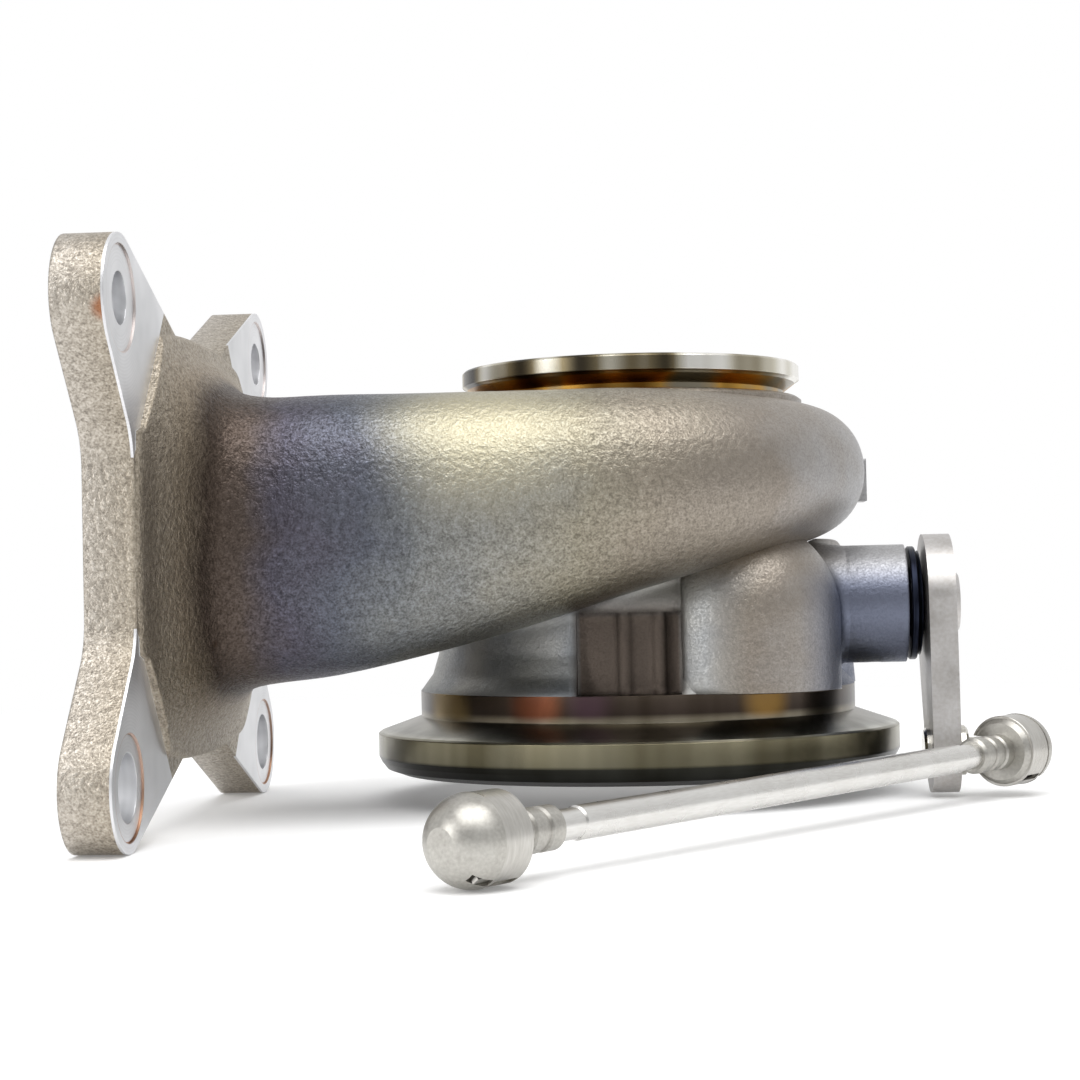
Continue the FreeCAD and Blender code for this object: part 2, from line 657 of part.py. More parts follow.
# Shallow cast recess in the front of the chamber, with two low ribs on its floor
recess_box = bind(doc.addObject("Part::Box", "recess_box"),
                  Length="sizes.recess_half_width * 2", Width="sizes.outlet_rim_radius",
                  Height="sizes.recess_top - sizes.outlet_neck_high")
place(recess_box, x="-sizes.recess_half_width", y="-sizes.outlet_rim_radius - 10",
      z="sizes.outlet_neck_high")
recess_floor = place(cylinder("recess_floor", "sizes.recess_floor_radius", "sizes.recess_top"),
                     z="5")
recess_parts = [recess_floor]
for number, across in enumerate((-0.8, 5.4)):
    rib = cylinder("recess_rib_%d" % number, "sizes.recess_rib_radius", "sizes.recess_top")
    place(rib, x="%s" % across, z="5",
          y="-sqrt(sizes.recess_floor_radius ^ 2 - %s ^ 2)" % abs(across))
    recess_parts.append(rib)
recess_tool = cut("recess_tool", recess_box, fuse("recess_keep", recess_parts))

machining = fuse("machining", [wheel_bore, gate_room, gate_port, bushing_bore, pin_bore])
bored_casting = cut("bored_casting", hollow_casting, machining)
recessed_casting = cut("recessed_casting", bored_casting, recess_tool)
faceting = doc.addObject("Part::MultiFuse", "faceting")
faceting.Shapes = facet_cutters
turbine_housing = part(cut("housing_casting", recessed_casting, faceting), "turbine_housing")

# Spindle bearing: a pressed-in bushing, held by a cross pin from below, with a thrust ring
# inside and a seal ring and disc spring outside
def along_spindle(body, x):
    """Lay a turned body along the spindle axis with its foot at x."""
    body.Placement = Placement(Vector(), ALONG_X)
    return place(body, x=x, y="sizes.spindle_y", z="sizes.spindle_z")


def ring(name, inner, outer, width, chamfer="0.2"):
    """Flat turned ring with its outer corners broken."""
    return turned(name, (
        (inner, "0"), ("%s - %s" % (outer, chamfer), "0"), (outer, chamfer),
        (outer, "%s - %s" % (width, chamfer)), ("%s - %s" % (outer, chamfer), width),
        (inner, width)))


SPINDLE_BORE = "sizes.spindle_radius + sizes.running_clearance"
BUSHING_END = "sizes.boss_end_x + sizes.bushing_stand_out"

bushing_tube = along_spindle(
    ring("bushing_tube", SPINDLE_BORE, "sizes.bushing_radius",
         "%s - sizes.bushing_start_x" % BUSHING_END, "0.4"), "sizes.bushing_start_x")
pin_seat = place(cylinder("pin_seat", "sizes.bushing_pin_radius", "sizes.bushing_radius"),
                 x="sizes.bushing_pin_x", y="sizes.spindle_y",
                 z="sizes.spindle_z - sizes.bushing_radius * 2 + 1.2")
part(cut("wastegate_bushing", bushing_tube, pin_seat), "wastegate_bushing")

pin = turned("pin", (
    ("0", "0"), ("sizes.bushing_pin_radius - 0.3", "0"), ("sizes.bushing_pin_radius", "0.3"),
    ("sizes.bushing_pin_radius", "sizes.boss_radius - sizes.bushing_radius + 0.2"),
    ("0", "sizes.boss_radius - sizes.bushing_radius + 0.2")))
place(pin, x="sizes.bushing_pin_x", y="sizes.spindle_y",
      z="sizes.spindle_z - sizes.boss_radius + 1")
part(pin, "bushing_pin")

part(along_spindle(ring("thrust_ring", "sizes.spindle_radius + 0.15", "sizes.bushing_radius - 0.3",
                        "sizes.thrust_ring_width"),
                   "sizes.bushing_start_x - sizes.thrust_ring_width"), "thrust_ring")
part(along_spindle(ring("seal_ring", "sizes.spindle_radius + 0.15", "sizes.seal_ring_radius",
                        "sizes.seal_ring_width"), BUSHING_END), "seal_ring")

# The disc spring is a shallow cone of sheet that bears on the seal ring and on the lever
spring_room = "(sizes.lever_inner_x - (%s) - sizes.seal_ring_width)" % BUSHING_END
lever_spring = turned("lever_spring", (
    ("sizes.spindle_radius + 0.2", "%s - 0.7" % spring_room),
    ("sizes.seal_ring_radius - 1.2", "0"),
    ("sizes.seal_ring_radius - 0.8", "0.7"),
    ("sizes.spindle_radius + 0.6", spring_room),
    ("sizes.spindle_radius + 0.2", spring_room)))
part(along_spindle(lever_spring, "%s + sizes.seal_ring_width" % BUSHING_END), "lever_disc_spring")

# Spindle and crank arm: one turned and milled piece inside the chamber
ARM_START = "sizes.gate_x - sizes.arm_half_width"
HUB_END = "sizes.bushing_start_x - sizes.thrust_ring_width - sizes.end_play"
WELD_FACE = "sizes.lever_inner_x + sizes.lever_thickness"
spindle_bar = along_spindle(turned("spindle_bar", (
    ("0", "0"),
    ("sizes.arm_hub_radius - 0.5", "0"),
    ("sizes.arm_hub_radius", "0.5"),
    ("sizes.arm_hub_radius", "%s - (%s) - 0.8" % (HUB_END, ARM_START)),
    ("sizes.arm_hub_radius - 0.8", "%s - (%s)" % (HUB_END, ARM_START)),
    ("sizes.spindle_radius", "%s - (%s)" % (HUB_END, ARM_START)),
    ("sizes.spindle_radius", "%s + 0.9 - (%s)" % (WELD_FACE, ARM_START)),
    ("sizes.spindle_radius - 0.5", "%s + 1.4 - (%s)" % (WELD_FACE, ARM_START)),
    ("0", "%s + 1.4 - (%s)" % (WELD_FACE, ARM_START)))), ARM_START)
ARM_TOP = "sizes.gate_seat_height - sizes.flap_thickness - sizes.flap_play"
arm_plate = bind(doc.addObject("Part::Box", "arm_plate"),
                 Length="sizes.arm_half_width * 2", Width="sizes.spindle_y - sizes.gate_y",
                 Height="sizes.arm_thickness")
place(arm_plate, x=ARM_START, y="sizes.gate_y", z="%s - sizes.arm_thickness" % ARM_TOP)
arm_nose = place(cylinder("arm_nose", "sizes.arm_half_width", "sizes.arm_thickness"),
                 x="sizes.gate_x", y="sizes.gate_y", z="%s - sizes.arm_thickness" % ARM_TOP)
stem_hole = place(cylinder("stem_hole", "sizes.flap_stem_radius + sizes.running_clearance",
                           "sizes.arm_thickness * 3"),
                  x="sizes.gate_x", y="sizes.gate_y", z="%s - sizes.arm_thickness * 2" % ARM_TOP)
arm_blank = fuse("arm_blank", [spindle_bar, arm_plate, arm_nose])
part(cut("spindle_arm", arm_blank, stem_hole), "spindle_arm")

# Valve flap with its stem, the disc spring and the retaining washer under the arm
STEM_FOOT = "sizes.arm_thickness + sizes.flap_play + sizes.disc_spring_thickness"
flap = turned("flap", (
    ("0", "-(%s + sizes.retainer_thickness + 0.5)" % STEM_FOOT),
    ("sizes.flap_stem_radius - 0.5", "-(%s + sizes.retainer_thickness + 0.5)" % STEM_FOOT),
    ("sizes.flap_stem_radius", "-(%s + sizes.retainer_thickness)" % STEM_FOOT),
    ("sizes.flap_stem_radius", "0"),
    ("sizes.flap_stem_radius + 1.2", "0"),
    ("sizes.flap_radius - 0.6", "0.9"),
    ("sizes.flap_radius", "1.5"),
    ("sizes.flap_radius", "sizes.flap_thickness - 0.5"),
    ("sizes.flap_radius - 0.5", "sizes.flap_thickness"),
    ("0", "sizes.flap_thickness")))
part(place(flap, x="sizes.gate_x", y="sizes.gate_y",
           z="sizes.gate_seat_height - sizes.flap_thickness"), "valve_flap")
part(place(ring("flap_spring", "sizes.flap_stem_radius + 0.1", "sizes.retainer_radius - 0.4",
                "sizes.disc_spring_thickness", "0.1"),
           x="sizes.gate_x", y="sizes.gate_y",
           z="%s - sizes.arm_thickness - sizes.disc_spring_thickness" % ARM_TOP),
     "flap_disc_spring")
part(place(ring("retainer", "sizes.flap_stem_radius", "sizes.retainer_radius",
                "sizes.retainer_thickness", "0.3"),
           x="sizes.gate_x", y="sizes.gate_y",
           z="%s - sizes.arm_thickness - sizes.disc_spring_thickness"
             " - sizes.retainer_thickness" % ARM_TOP), "flap_retainer")

# Lever: a flat tapered plate with a large eye on the spindle and a small end for the ball
lean = math.radians(size("lever_lean"))
spindle_point = Vector(size("spindle_y"), size("spindle_z"), 0)
tip_point = spindle_point + Vector(-math.sin(lean), -math.cos(lean), 0) * size("lever_length")
lever_plate = plate_from("lever_plate", "YZ_Plane",
                         tangent_outline([(spindle_point, size("lever_eye_radius")),
                                          (tip_point, size("lever_tip_radius"))]),
                         "sizes.lever_thickness")
place(lever_plate, x="sizes.lever_inner_x")
LEVER_TIP_Y = "sizes.spindle_y - sin(sizes.lever_lean * 1 deg) * sizes.lever_length"
LEVER_TIP_Z = "sizes.spindle_z - cos(sizes.lever_lean * 1 deg) * sizes.lever_length"
STUD_SHANK = "sizes.stud_neck_radius + 0.8"


def across_lever(name, radius, y, z):
    hole = cylinder(name, radius, "sizes.lever_thickness * 2")
    hole.Placement = Placement(Vector(), ALONG_X)
    return place(hole, x="sizes.lever_inner_x - sizes.lever_thickness / 2", y=y, z=z)


lever_eye = across_lever("lever_eye", "sizes.spindle_radius", "sizes.spindle_y", "sizes.spindle_z")
lever_tip_hole = across_lever("lever_tip_hole", STUD_SHANK, LEVER_TIP_Y, LEVER_TIP_Z)
lever_cut = cut("lever_cut", lever_plate, fuse("lever_holes", [lever_eye, lever_tip_hole]))
part(lever_cut, "lever")

part(along_spindle(turned("weld_bead", (
    ("sizes.spindle_radius", "0"),
    ("sizes.weld_radius", "0"),
    ("sizes.weld_radius - 0.3", "sizes.weld_height * 0.5"),
    ("sizes.weld_radius - 1", "sizes.weld_height * 0.9"),
    ("sizes.spindle_radius + 0.3", "sizes.weld_height * 0.8"),
    ("sizes.spindle_radius", "0.9"))), WELD_FACE), "lever_weld_bead")

# Ball stud, riveted through the lever tip
stud_bar = turned("stud_bar", (
    ("0", "-1.2"),
    ("%s + 0.5" % STUD_SHANK, "-1.2"),
    ("%s + 1" % STUD_SHANK, "-0.7"),
    ("%s + 1" % STUD_SHANK, "0"),
    (STUD_SHANK, "0"),
    (STUD_SHANK, "sizes.lever_thickness"),
    ("sizes.stud_collar_radius", "sizes.lever_thickness"),
    ("sizes.stud_collar_radius",
     "sizes.lever_thickness + sizes.stud_collar_width - 0.5"),
    ("sizes.stud_collar_radius - 0.5", "sizes.lever_thickness + sizes.stud_collar_width"),
    ("sizes.stud_neck_radius", "sizes.lever_thickness + sizes.stud_collar_width + 0.4"),
    ("sizes.stud_neck_radius", "sizes.lever_thickness + sizes.ball_reach - 3"),
    ("0", "sizes.lever_thickness + sizes.ball_reach - 3")))
stud_bar.Placement = Placement(Vector(), ALONG_X)
place(stud_bar, x="sizes.lever_inner_x", y=LEVER_TIP_Y, z=LEVER_TIP_Z)
BALL_X = "sizes.lever_inner_x + sizes.lever_thickness + sizes.ball_reach"
stud_ball = place(bind(doc.addObject("Part::Sphere", "stud_ball"), Radius="sizes.ball_radius"),
                  x=BALL_X, y=LEVER_TIP_Y, z=LEVER_TIP_Z)
part(fuse("ball_stud", [stud_bar, stud_ball]), "ball_stud")

# Link: a rod with a crimped-on ball socket at each end. Each socket is modelled along its
# own Z, from the ball centre towards the rod, with its mouth towards +X, and then placed.
lever_ball = Vector(size("lever_inner_x") + size("lever_thickness") + size("ball_reach"),
                    tip_point.x, tip_point.y)
heading = math.radians(size("link_heading"))
rise = math.radians(size("link_rise"))
link_axis = Vector(math.cos(heading) * math.cos(rise), math.sin(heading) * math.cos(rise),
                   math.sin(rise))
free_ball = lever_ball - link_axis * size("link_length")
mouth_axis = Vector(-math.sin(heading), math.cos(heading), 0)


def link_placement(base, along):
    """Local Z along the rod and local X out of the mouths of the sockets."""
    return Placement(base, Rotation(mouth_axis, along.cross(mouth_axis), along, "ZXY"))


SHANK_START = "sizes.band_width + 0.4"
SHANK_END = "sizes.band_width + 0.4 + sizes.shank_length"
CLIP_INNER = "sizes.ball_radius + 0.25"
SLIT_LEAN = 35.0


def crimped_shank():
    """Corners of the shank with its two pressed rings, from the head outwards."""
    corners = [("sizes.shank_radius", SHANK_START)]
    for share in (0.22, 0.56):
        start = "%s + sizes.shank_length * %s" % (SHANK_START, share)
        corners += [("sizes.shank_radius", start),
                    ("sizes.shank_radius - sizes.crimp_depth", start + " + 0.3"),
                    ("sizes.shank_radius - sizes.crimp_depth",
                     start + " + sizes.crimp_width - 0.3"),
                    ("sizes.shank_radius", start + " + sizes.crimp_width")]
    corners += [("sizes.shank_radius", SHANK_END + " - 0.5"),
                ("sizes.shank_radius - 0.5", SHANK_END),
                ("0", SHANK_END)]
    return corners


def socket_tools(name, side):
    """Mouth and slit cutters; side is the sign of local Y that is down once placed."""
    mouth = padded(name + "_mouth", "XZ_Plane", (
        ("0", "-sizes.mouth_half_height * 0.9"),
        ("9", "-sizes.mouth_half_height * 0.9 - 1.9"),
        ("9", "sizes.mouth_half_height + 9 * tan(sizes.mouth_tilt * 1 deg)"),
        ("0", "sizes.mouth_half_height")), "sizes.mouth_half_width * 2")
    mouth.getObject(name + "_mouth_pad").Midplane = True
    slit = bind(doc.addObject("Part::Box", name + "_slit"), Length="8",
                Width="sizes.slit_width", Height="sizes.band_width * 1.5")
    turn = Rotation(UP, side * (90 + SLIT_LEAN))
    slit.Placement = Placement(turn.multVec(Vector(0, -size("slit_width") / 2, 0))
                               + UP * (-size("band_width") * 0.75), turn)
    return mouth, slit, turn


def ball_socket(name, base, along, side):
    """Socket head, retaining band and spring tongue of one end of the link."""
    where = link_placement(base, along)
    mouth, slit, turn = socket_tools(name, side)
    dome = bind(doc.addObject("Part::Sphere", name + "_dome"), Radius="sizes.dome_radius")
    place(dome, z="-sizes.dome_offset")
    reach = "sqrt(sizes.dome_radius ^ 2 - sizes.dome_flat_radius ^ 2) + sizes.dome_offset"
    dome_slice = place(cylinder(name + "_dome_slice", "sizes.dome_radius + 1",
                                "%s - 0.6" % reach), z="-(%s)" % reach)
    body = turned(name + "_body", [
        ("0", "-1"), ("sizes.band_inner_radius", "-1"),
        ("sizes.band_inner_radius", "sizes.band_width - 0.6"),
        ("sizes.band_inner_radius - 0.8", SHANK_START)] + crimped_shank())
    room = bind(doc.addObject("Part::Sphere", name + "_room"),
                Radius="sizes.ball_radius + sizes.socket_clearance")
    spigot = place(cylinder(name + "_spigot_bore", "sizes.rod_spigot_radius",
                            "sizes.rod_spigot_length + 1"),
                   z="%s - sizes.rod_spigot_length" % SHANK_END)
    solid = fuse(name + "_solid", [common(name + "_cap", dome, dome_slice), body])
    tools = fuse(name + "_tools", [room, spigot, mouth, slit])
    head = cut(name + "_head", solid, tools)
    head.Placement = where
    part(head, name)

    band_ring = place(ring(name + "_band_ring", "sizes.band_inner_radius",
                           "sizes.band_inner_radius + sizes.band_thickness",
                           "sizes.band_width", "0.1"), z="-0.55")
    band_slit = place(bind(doc.addObject("Part::Box", name + "_band_slit"), Length="8",
                           Width="sizes.slit_width", Height="sizes.band_width - 1"))
    band_slit.Placement = Placement(turn.multVec(Vector(0, -size("slit_width") / 2, 0))
                                    + UP * -0.6, turn)
    band_mouth = doc.copyObject(mouth, True)
    band = cut(name + "_band_cut", band_ring, fuse(name + "_band_tools", [band_slit, band_mouth]))
    band.Placement = where
    part(band, name.replace("socket", "band"))

    tongue = bind(doc.addObject("Part::Box", name + "_tongue"),
                  Length="sizes.band_inner_radius - (%s) - sizes.running_clearance" % CLIP_INNER,
                  Width="sizes.slit_width - sizes.tongue_play * 2",
                  Height="sizes.band_width - 1.4")
    offset = Vector(size("ball_radius") + 0.25,
                    size("tongue_play") - size("slit_width") / 2, 0)
    tongue.Placement = where.multiply(Placement(turn.multVec(offset) + UP * -3.4, turn))
    part(tongue, name.replace("socket", "tongue"))


ball_socket("free_end_socket", free_ball, link_axis, -1)
ball_socket("lever_end_socket", lever_ball, link_axis * -1, 1)

ROD_END = "(sizes.link_length / 2 - (%s))" % SHANK_END
half_rod = [
    ("sizes.rod_radius", "%s - sizes.rod_neck_length - 0.3" % ROD_END),
    ("sizes.rod_neck_radius", "%s - sizes.rod_neck_length" % ROD_END),
    ("sizes.rod_neck_radius", ROD_END),
    ("sizes.rod_spigot_radius", ROD_END),
    ("sizes.rod_spigot_radius", "%s + sizes.rod_spigot_length - 0.4" % ROD_END),
    ("sizes.rod_spigot_radius - 0.4", "%s + sizes.rod_spigot_length" % ROD_END),
    ("0", "%s + sizes.rod_spigot_length" % ROD_END)]
other_half = [(across, "-(%s)" % along) for across, along in half_rod[::-1]]
rod = turned("rod", half_rod + other_half)
rod.Placement = link_placement(free_ball + link_axis * (size("link_length") / 2), link_axis)
part(rod, "link_rod")

doc.recompute()
faults = []
for item in doc.Objects:
    if "Invalid" in item.State or "Error" in item.State:
        faults.append("%s %s" % (item.Name, item.State))
for item in PARTS:
    if item.Shape.isNull() or not item.Shape.isValid() or not item.Shape.Solids:
        faults.append("%s has no valid solid" % item.Label)
if faults:
    raise RuntimeError("; ".join(faults))

os.makedirs("parts", exist_ok=True)
for item in PARTS:
    item.Shape.exportStep("parts/%s.step" % item.Label)
    box = item.Shape.BoundBox
    print("%-20s solids %d  volume %8.0f  x %.1f..%.1f  y %.1f..%.1f  z %.1f..%.1f" % (
        item.Label, len(item.Shape.Solids), item.Shape.Volume, box.XMin, box.XMax,
        box.YMin, box.YMax, box.ZMin, box.ZMax))
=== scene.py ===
# %% [markdown]
# # A cast turbine housing with its wastegate lever and link
#
# The part is the hot half of a turbocharger: a casting that leads exhaust gas from a
# four-lobed flange, round a spiral and into a turbine wheel. Beside the outlet sit a
# wastegate valve, the lever that turns it and a ball-jointed link to an actuator.
# Nearly every piece comes from the measured model, so this lesson is mostly about light
# and finish: how one casting can be sand-rough in one place, milled white in another and
# heat-blued in a third, with patterns that are worked out from real millimetres.

# %% Load the measured model and keep its box
import math
import bpy
from mathutils import Matrix, Vector


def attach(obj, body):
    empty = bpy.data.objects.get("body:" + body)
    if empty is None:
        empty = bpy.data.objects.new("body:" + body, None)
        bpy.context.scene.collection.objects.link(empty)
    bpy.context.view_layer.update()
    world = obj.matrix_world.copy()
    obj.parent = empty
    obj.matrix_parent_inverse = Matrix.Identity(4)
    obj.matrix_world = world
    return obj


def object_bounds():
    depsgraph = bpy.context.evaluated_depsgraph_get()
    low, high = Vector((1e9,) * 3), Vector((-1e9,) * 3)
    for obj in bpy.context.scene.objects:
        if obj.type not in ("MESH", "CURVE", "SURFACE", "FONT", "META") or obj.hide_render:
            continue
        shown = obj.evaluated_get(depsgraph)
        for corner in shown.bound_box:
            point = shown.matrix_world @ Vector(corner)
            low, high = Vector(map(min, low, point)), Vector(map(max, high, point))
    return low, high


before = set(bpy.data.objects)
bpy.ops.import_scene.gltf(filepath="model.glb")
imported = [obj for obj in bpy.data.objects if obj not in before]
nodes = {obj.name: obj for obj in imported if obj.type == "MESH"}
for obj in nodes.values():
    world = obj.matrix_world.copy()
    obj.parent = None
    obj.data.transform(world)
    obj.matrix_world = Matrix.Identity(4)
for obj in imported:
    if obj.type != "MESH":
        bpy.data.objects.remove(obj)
cad_low, cad_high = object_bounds()
print("pieces:", len(nodes))
print("size in mm:", [round((high - low) * 1000, 1) for low, high in zip(cad_low, cad_high)])

# %% [markdown]
# ## Camera
#
# The photograph was matched with a pinhole camera: its place, where it looks, a slight
# roll and its focal length. The three directions below are the camera's right, up and
# forward, and a camera in Blender looks down its own negative Z axis. Depth of field
# stays off, so that every piece can be studied.

# %% Camera at the photograph's place
MM = 0.001
IMAGE_SIDE = 1080
FOCAL_PIXELS = 2184.05
SENSOR_WIDTH = 36
CAMERA_PLACE = Vector((14.63, -424.31, 34.32)) * MM
YAW, PITCH, ROLL = math.radians(4.43), math.radians(1.31), math.radians(1.26)

forward = Vector((-math.sin(YAW) * math.cos(PITCH), math.cos(YAW) * math.cos(PITCH),
                  math.sin(PITCH)))
level_right = Vector((math.cos(YAW), math.sin(YAW), 0))
level_up = level_right.cross(forward)
right = level_right * math.cos(ROLL) - level_up * math.sin(ROLL)
up = level_up * math.cos(ROLL) + level_right * math.sin(ROLL)

lens = bpy.data.cameras.new("camera")
lens.sensor_width = SENSOR_WIDTH
lens.lens = FOCAL_PIXELS / IMAGE_SIDE * SENSOR_WIDTH
lens.clip_start = 10 * MM
camera = bpy.data.objects.new("camera", lens)
bpy.context.scene.collection.objects.link(camera)
camera.matrix_world = (Matrix.Translation(CAMERA_PLACE)
                       @ Matrix((right, up, -forward)).transposed().to_4x4())
bpy.context.scene.camera = camera
bpy.context.scene.view_settings.view_transform = "Standard"
print("lens %.1f mm" % lens.lens)

# %% [markdown]
# ## A helper for colours and a helper for nodes
#
# Colours are written as hex values, as a paint chart gives them. A shader wants linear
# light, so one function does the change. A second small function adds a shader node,
# sets what it is told, makes the links and fills in a colour ramp's stops. With only
# these two, every finish below can be read node by node, as it would look in the editor.
# Sockets go by name or by number. A Mix node has the sockets of all its kinds at once:
# 2 and 3 are its two plain numbers, and 6 and 7 are its two colours.

# %% Colour and node helpers
def linear(colour):
    """Linear red, green, blue and alpha of an sRGB hex colour."""
    parts = [int(colour[at:at + 2], 16) / 255 for at in (1, 3, 5)]
    return [part / 12.92 if part <= 0.04045 else ((part + 0.055) / 1.055) ** 2.4
            for part in parts] + [1.0]


def add(tree, kind, links=None, stops=(), **settings):
    """Add a node; links holds values or links by socket, stops the ends of a ramp first."""
    made = tree.nodes.new(kind)
    for name, value in settings.items():
        setattr(made, name, value)
    for socket, source in (links or {}).items():
        if isinstance(source, bpy.types.NodeSocket):
            tree.links.new(source, made.inputs[socket])
        else:
            made.inputs[socket].default_value = source
    for number, (place, colour) in enumerate(stops):
        ends = made.color_ramp.elements
        stop = ends[number] if number < 2 else ends.new(place)
        stop.position = place
        stop.color = linear(colour)
    return made


def empty_tree(material):
    """The material's node tree with nothing in it yet."""
    material.use_nodes = True
    material.node_tree.nodes.clear()
    return material.node_tree


# %% [markdown]
# ## Floor
#
# Small metal parts are shot on a sheet of white card. A matt card gives the part its soft
# shadow, but a real one never looks quite white, and its far edge draws a line across the
# picture. So a little glow is added near the part, and further out the card turns into
# an even white that meets the white background. The glow is seen by the camera and in
# reflections only, so it puts no extra light on the part.

# %% Floor of white card
FLOOR_SIDE = 60
FLOOR_GAP = 0.1 * MM
FADE_START, FADE_END = 0.16, 0.42
CARD_GLOW = 0.16

bpy.ops.object.select_all(action="DESELECT")
bpy.ops.mesh.primitive_plane_add(size=FLOOR_SIDE, location=(0, 0, cad_low.z - FLOOR_GAP))
floor = bpy.context.object
floor.name = "floor"

card = bpy.data.materials.new("white_card_matt")
tree = empty_tree(card)
place = add(tree, "ShaderNodeTexCoord").outputs["Object"]
distance = add(tree, "ShaderNodeVectorMath", {0: place}, operation="LENGTH").outputs["Value"]
far = add(tree, "ShaderNodeMapRange", {"Value": distance, "From Min": FADE_START,
                                       "From Max": FADE_END},
          interpolation_type="SMOOTHSTEP").outputs[0]
ray = add(tree, "ShaderNodeLightPath").outputs
seen = add(tree, "ShaderNodeMath", {0: ray["Is Camera Ray"], 1: ray["Is Glossy Ray"]},
           operation="MAXIMUM").outputs[0]
seen = add(tree, "ShaderNodeMath", {0: seen, 1: ray["Is Transmission Ray"]},
           operation="MAXIMUM").outputs[0]
lift = add(tree, "ShaderNodeMath", {0: seen, 1: CARD_GLOW}, operation="MULTIPLY").outputs[0]
matt = add(tree, "ShaderNodeBsdfDiffuse", {"Color": linear("#f2f2f2")})
glow = add(tree, "ShaderNodeEmission", {"Color": linear("#ffffff"), "Strength": lift})
near_card = add(tree, "ShaderNodeAddShader", {0: matt.outputs[0], 1: glow.outputs[0]})
even_white = add(tree, "ShaderNodeEmission", {"Color": linear("#ffffff"), "Strength": 1.0})
share = add(tree, "ShaderNodeMath", {0: far, 1: seen}, operation="MULTIPLY").outputs[0]
whole = add(tree, "ShaderNodeMixShader",
            {0: share, 1: near_card.outputs[0], 2: even_white.outputs[0]})
add(tree, "ShaderNodeOutputMaterial", {"Surface": whole.outputs[0]})
floor.data.materials.append(card)
print("floor %.1f mm below the part" % (FLOOR_GAP / MM))

# %% [markdown]
# ## Sky and lamps
#
# A product shot of bare metal is mostly a picture of the studio. The sky is white behind
# the part and greyer behind the camera, which gives rounded metal its darker side. One
# large soft box hangs above and in front, so that the tube gets one broad highlight, and
# a weaker one on the left lights the edge of the flange.

# %% Sky
SKY_BEHIND_CAMERA, SKY_BEHIND_PART = 0.34, 0.95

sky = bpy.data.worlds.new("studio")
bpy.context.scene.world = sky
sky.use_nodes = True
tree = sky.node_tree
tree.nodes.clear()
where = add(tree, "ShaderNodeTexCoord").outputs["Generated"]
split = add(tree, "ShaderNodeSeparateXYZ", {0: where}).outputs
depth = add(tree, "ShaderNodeMapRange", {
    "Value": split["Y"], "From Min": -0.9, "From Max": 0.6,
    "To Min": SKY_BEHIND_CAMERA, "To Max": SKY_BEHIND_PART}).outputs[0]
ray = add(tree, "ShaderNodeLightPath").outputs
level = add(tree, "ShaderNodeMix", {0: ray["Is Camera Ray"], 2: depth, 3: 1.0},
            data_type="FLOAT").outputs[0]
glow = add(tree, "ShaderNodeBackground", {"Color": linear("#ffffff"), "Strength": level})
add(tree, "ShaderNodeOutputWorld", {"Surface": glow.outputs[0]})
print("sky %.2f behind the camera, %.2f behind the part" % (SKY_BEHIND_CAMERA, SKY_BEHIND_PART))

# %% Soft boxes
def soft_box(name, place, target, width, height, power):
    """One rectangular lamp that faces a point of the part."""
    lamp = bpy.data.lights.new(name, "AREA")
    lamp.shape = "RECTANGLE"
    lamp.size, lamp.size_y, lamp.energy = width, height, power
    made = bpy.data.objects.new(name, lamp)
    bpy.context.scene.collection.objects.link(made)
    made.location = place
    made.rotation_euler = (Vector(target) - Vector(place)).to_track_quat("-Z", "Y").to_euler()
    print("%-14s %.1f W" % (name, power))


soft_box("overhead_box", (0.10, -0.40, 0.80), (0, -0.03, 0.04), 1.0, 0.7, 7.0)
soft_box("left_box", (-0.80, -0.70, 0.30), (-0.08, -0.08, 0.04), 0.5, 0.8, 4.5)

# %% [markdown]
# ## Investment-cast stainless steel
#
# The housing is poured in a ceramic mould, blasted clean and then machined only where
# something seats. A single finish would lose that story, and separate objects would cut
# the casting in pieces. So one material tells the places apart by where they are on the
# part: the next cell works out a few distances, and later cells make masks of them.
# Object coordinates are in metres here, and the origin is on the turbine axis.

# %% Cast housing: places on the part
cast = bpy.data.materials.new("stainless_steel_investment_cast_blasted")
tree = empty_tree(cast)
place = add(tree, "ShaderNodeTexCoord").outputs["Object"]
spot = add(tree, "ShaderNodeSeparateXYZ", {0: place}).outputs
x, y, z = spot["X"], spot["Y"], spot["Z"]
flat = add(tree, "ShaderNodeCombineXYZ", {"X": x, "Y": y}).outputs[0]
radius = add(tree, "ShaderNodeVectorMath", {0: flat}, operation="LENGTH").outputs["Value"]

# Distance from the nearest bolt axis: the flange is the same in all four quarters
INLET_Y, INLET_Z = -41.0 * MM, 43.1 * MM
BOLT_WIDE, BOLT_HIGH = 51.0 * MM, 38.0 * MM
quarter = add(tree, "ShaderNodeVectorMath", {0: place, 1: (0, INLET_Y, INLET_Z)},
              operation="SUBTRACT").outputs[0]
quarter = add(tree, "ShaderNodeVectorMath", {0: quarter}, operation="ABSOLUTE").outputs[0]
flange = add(tree, "ShaderNodeSeparateXYZ", {0: quarter}).outputs
bolt = add(tree, "ShaderNodeCombineXYZ", {"Y": flange["Y"], "Z": flange["Z"]}).outputs[0]
bolt = add(tree, "ShaderNodeVectorMath", {0: bolt, 1: (0, BOLT_WIDE, BOLT_HIGH)},
           operation="DISTANCE").outputs["Value"]
print("bolt axes %.0f by %.0f mm apart" % (BOLT_WIDE * 2 / MM, BOLT_HIGH * 2 / MM))

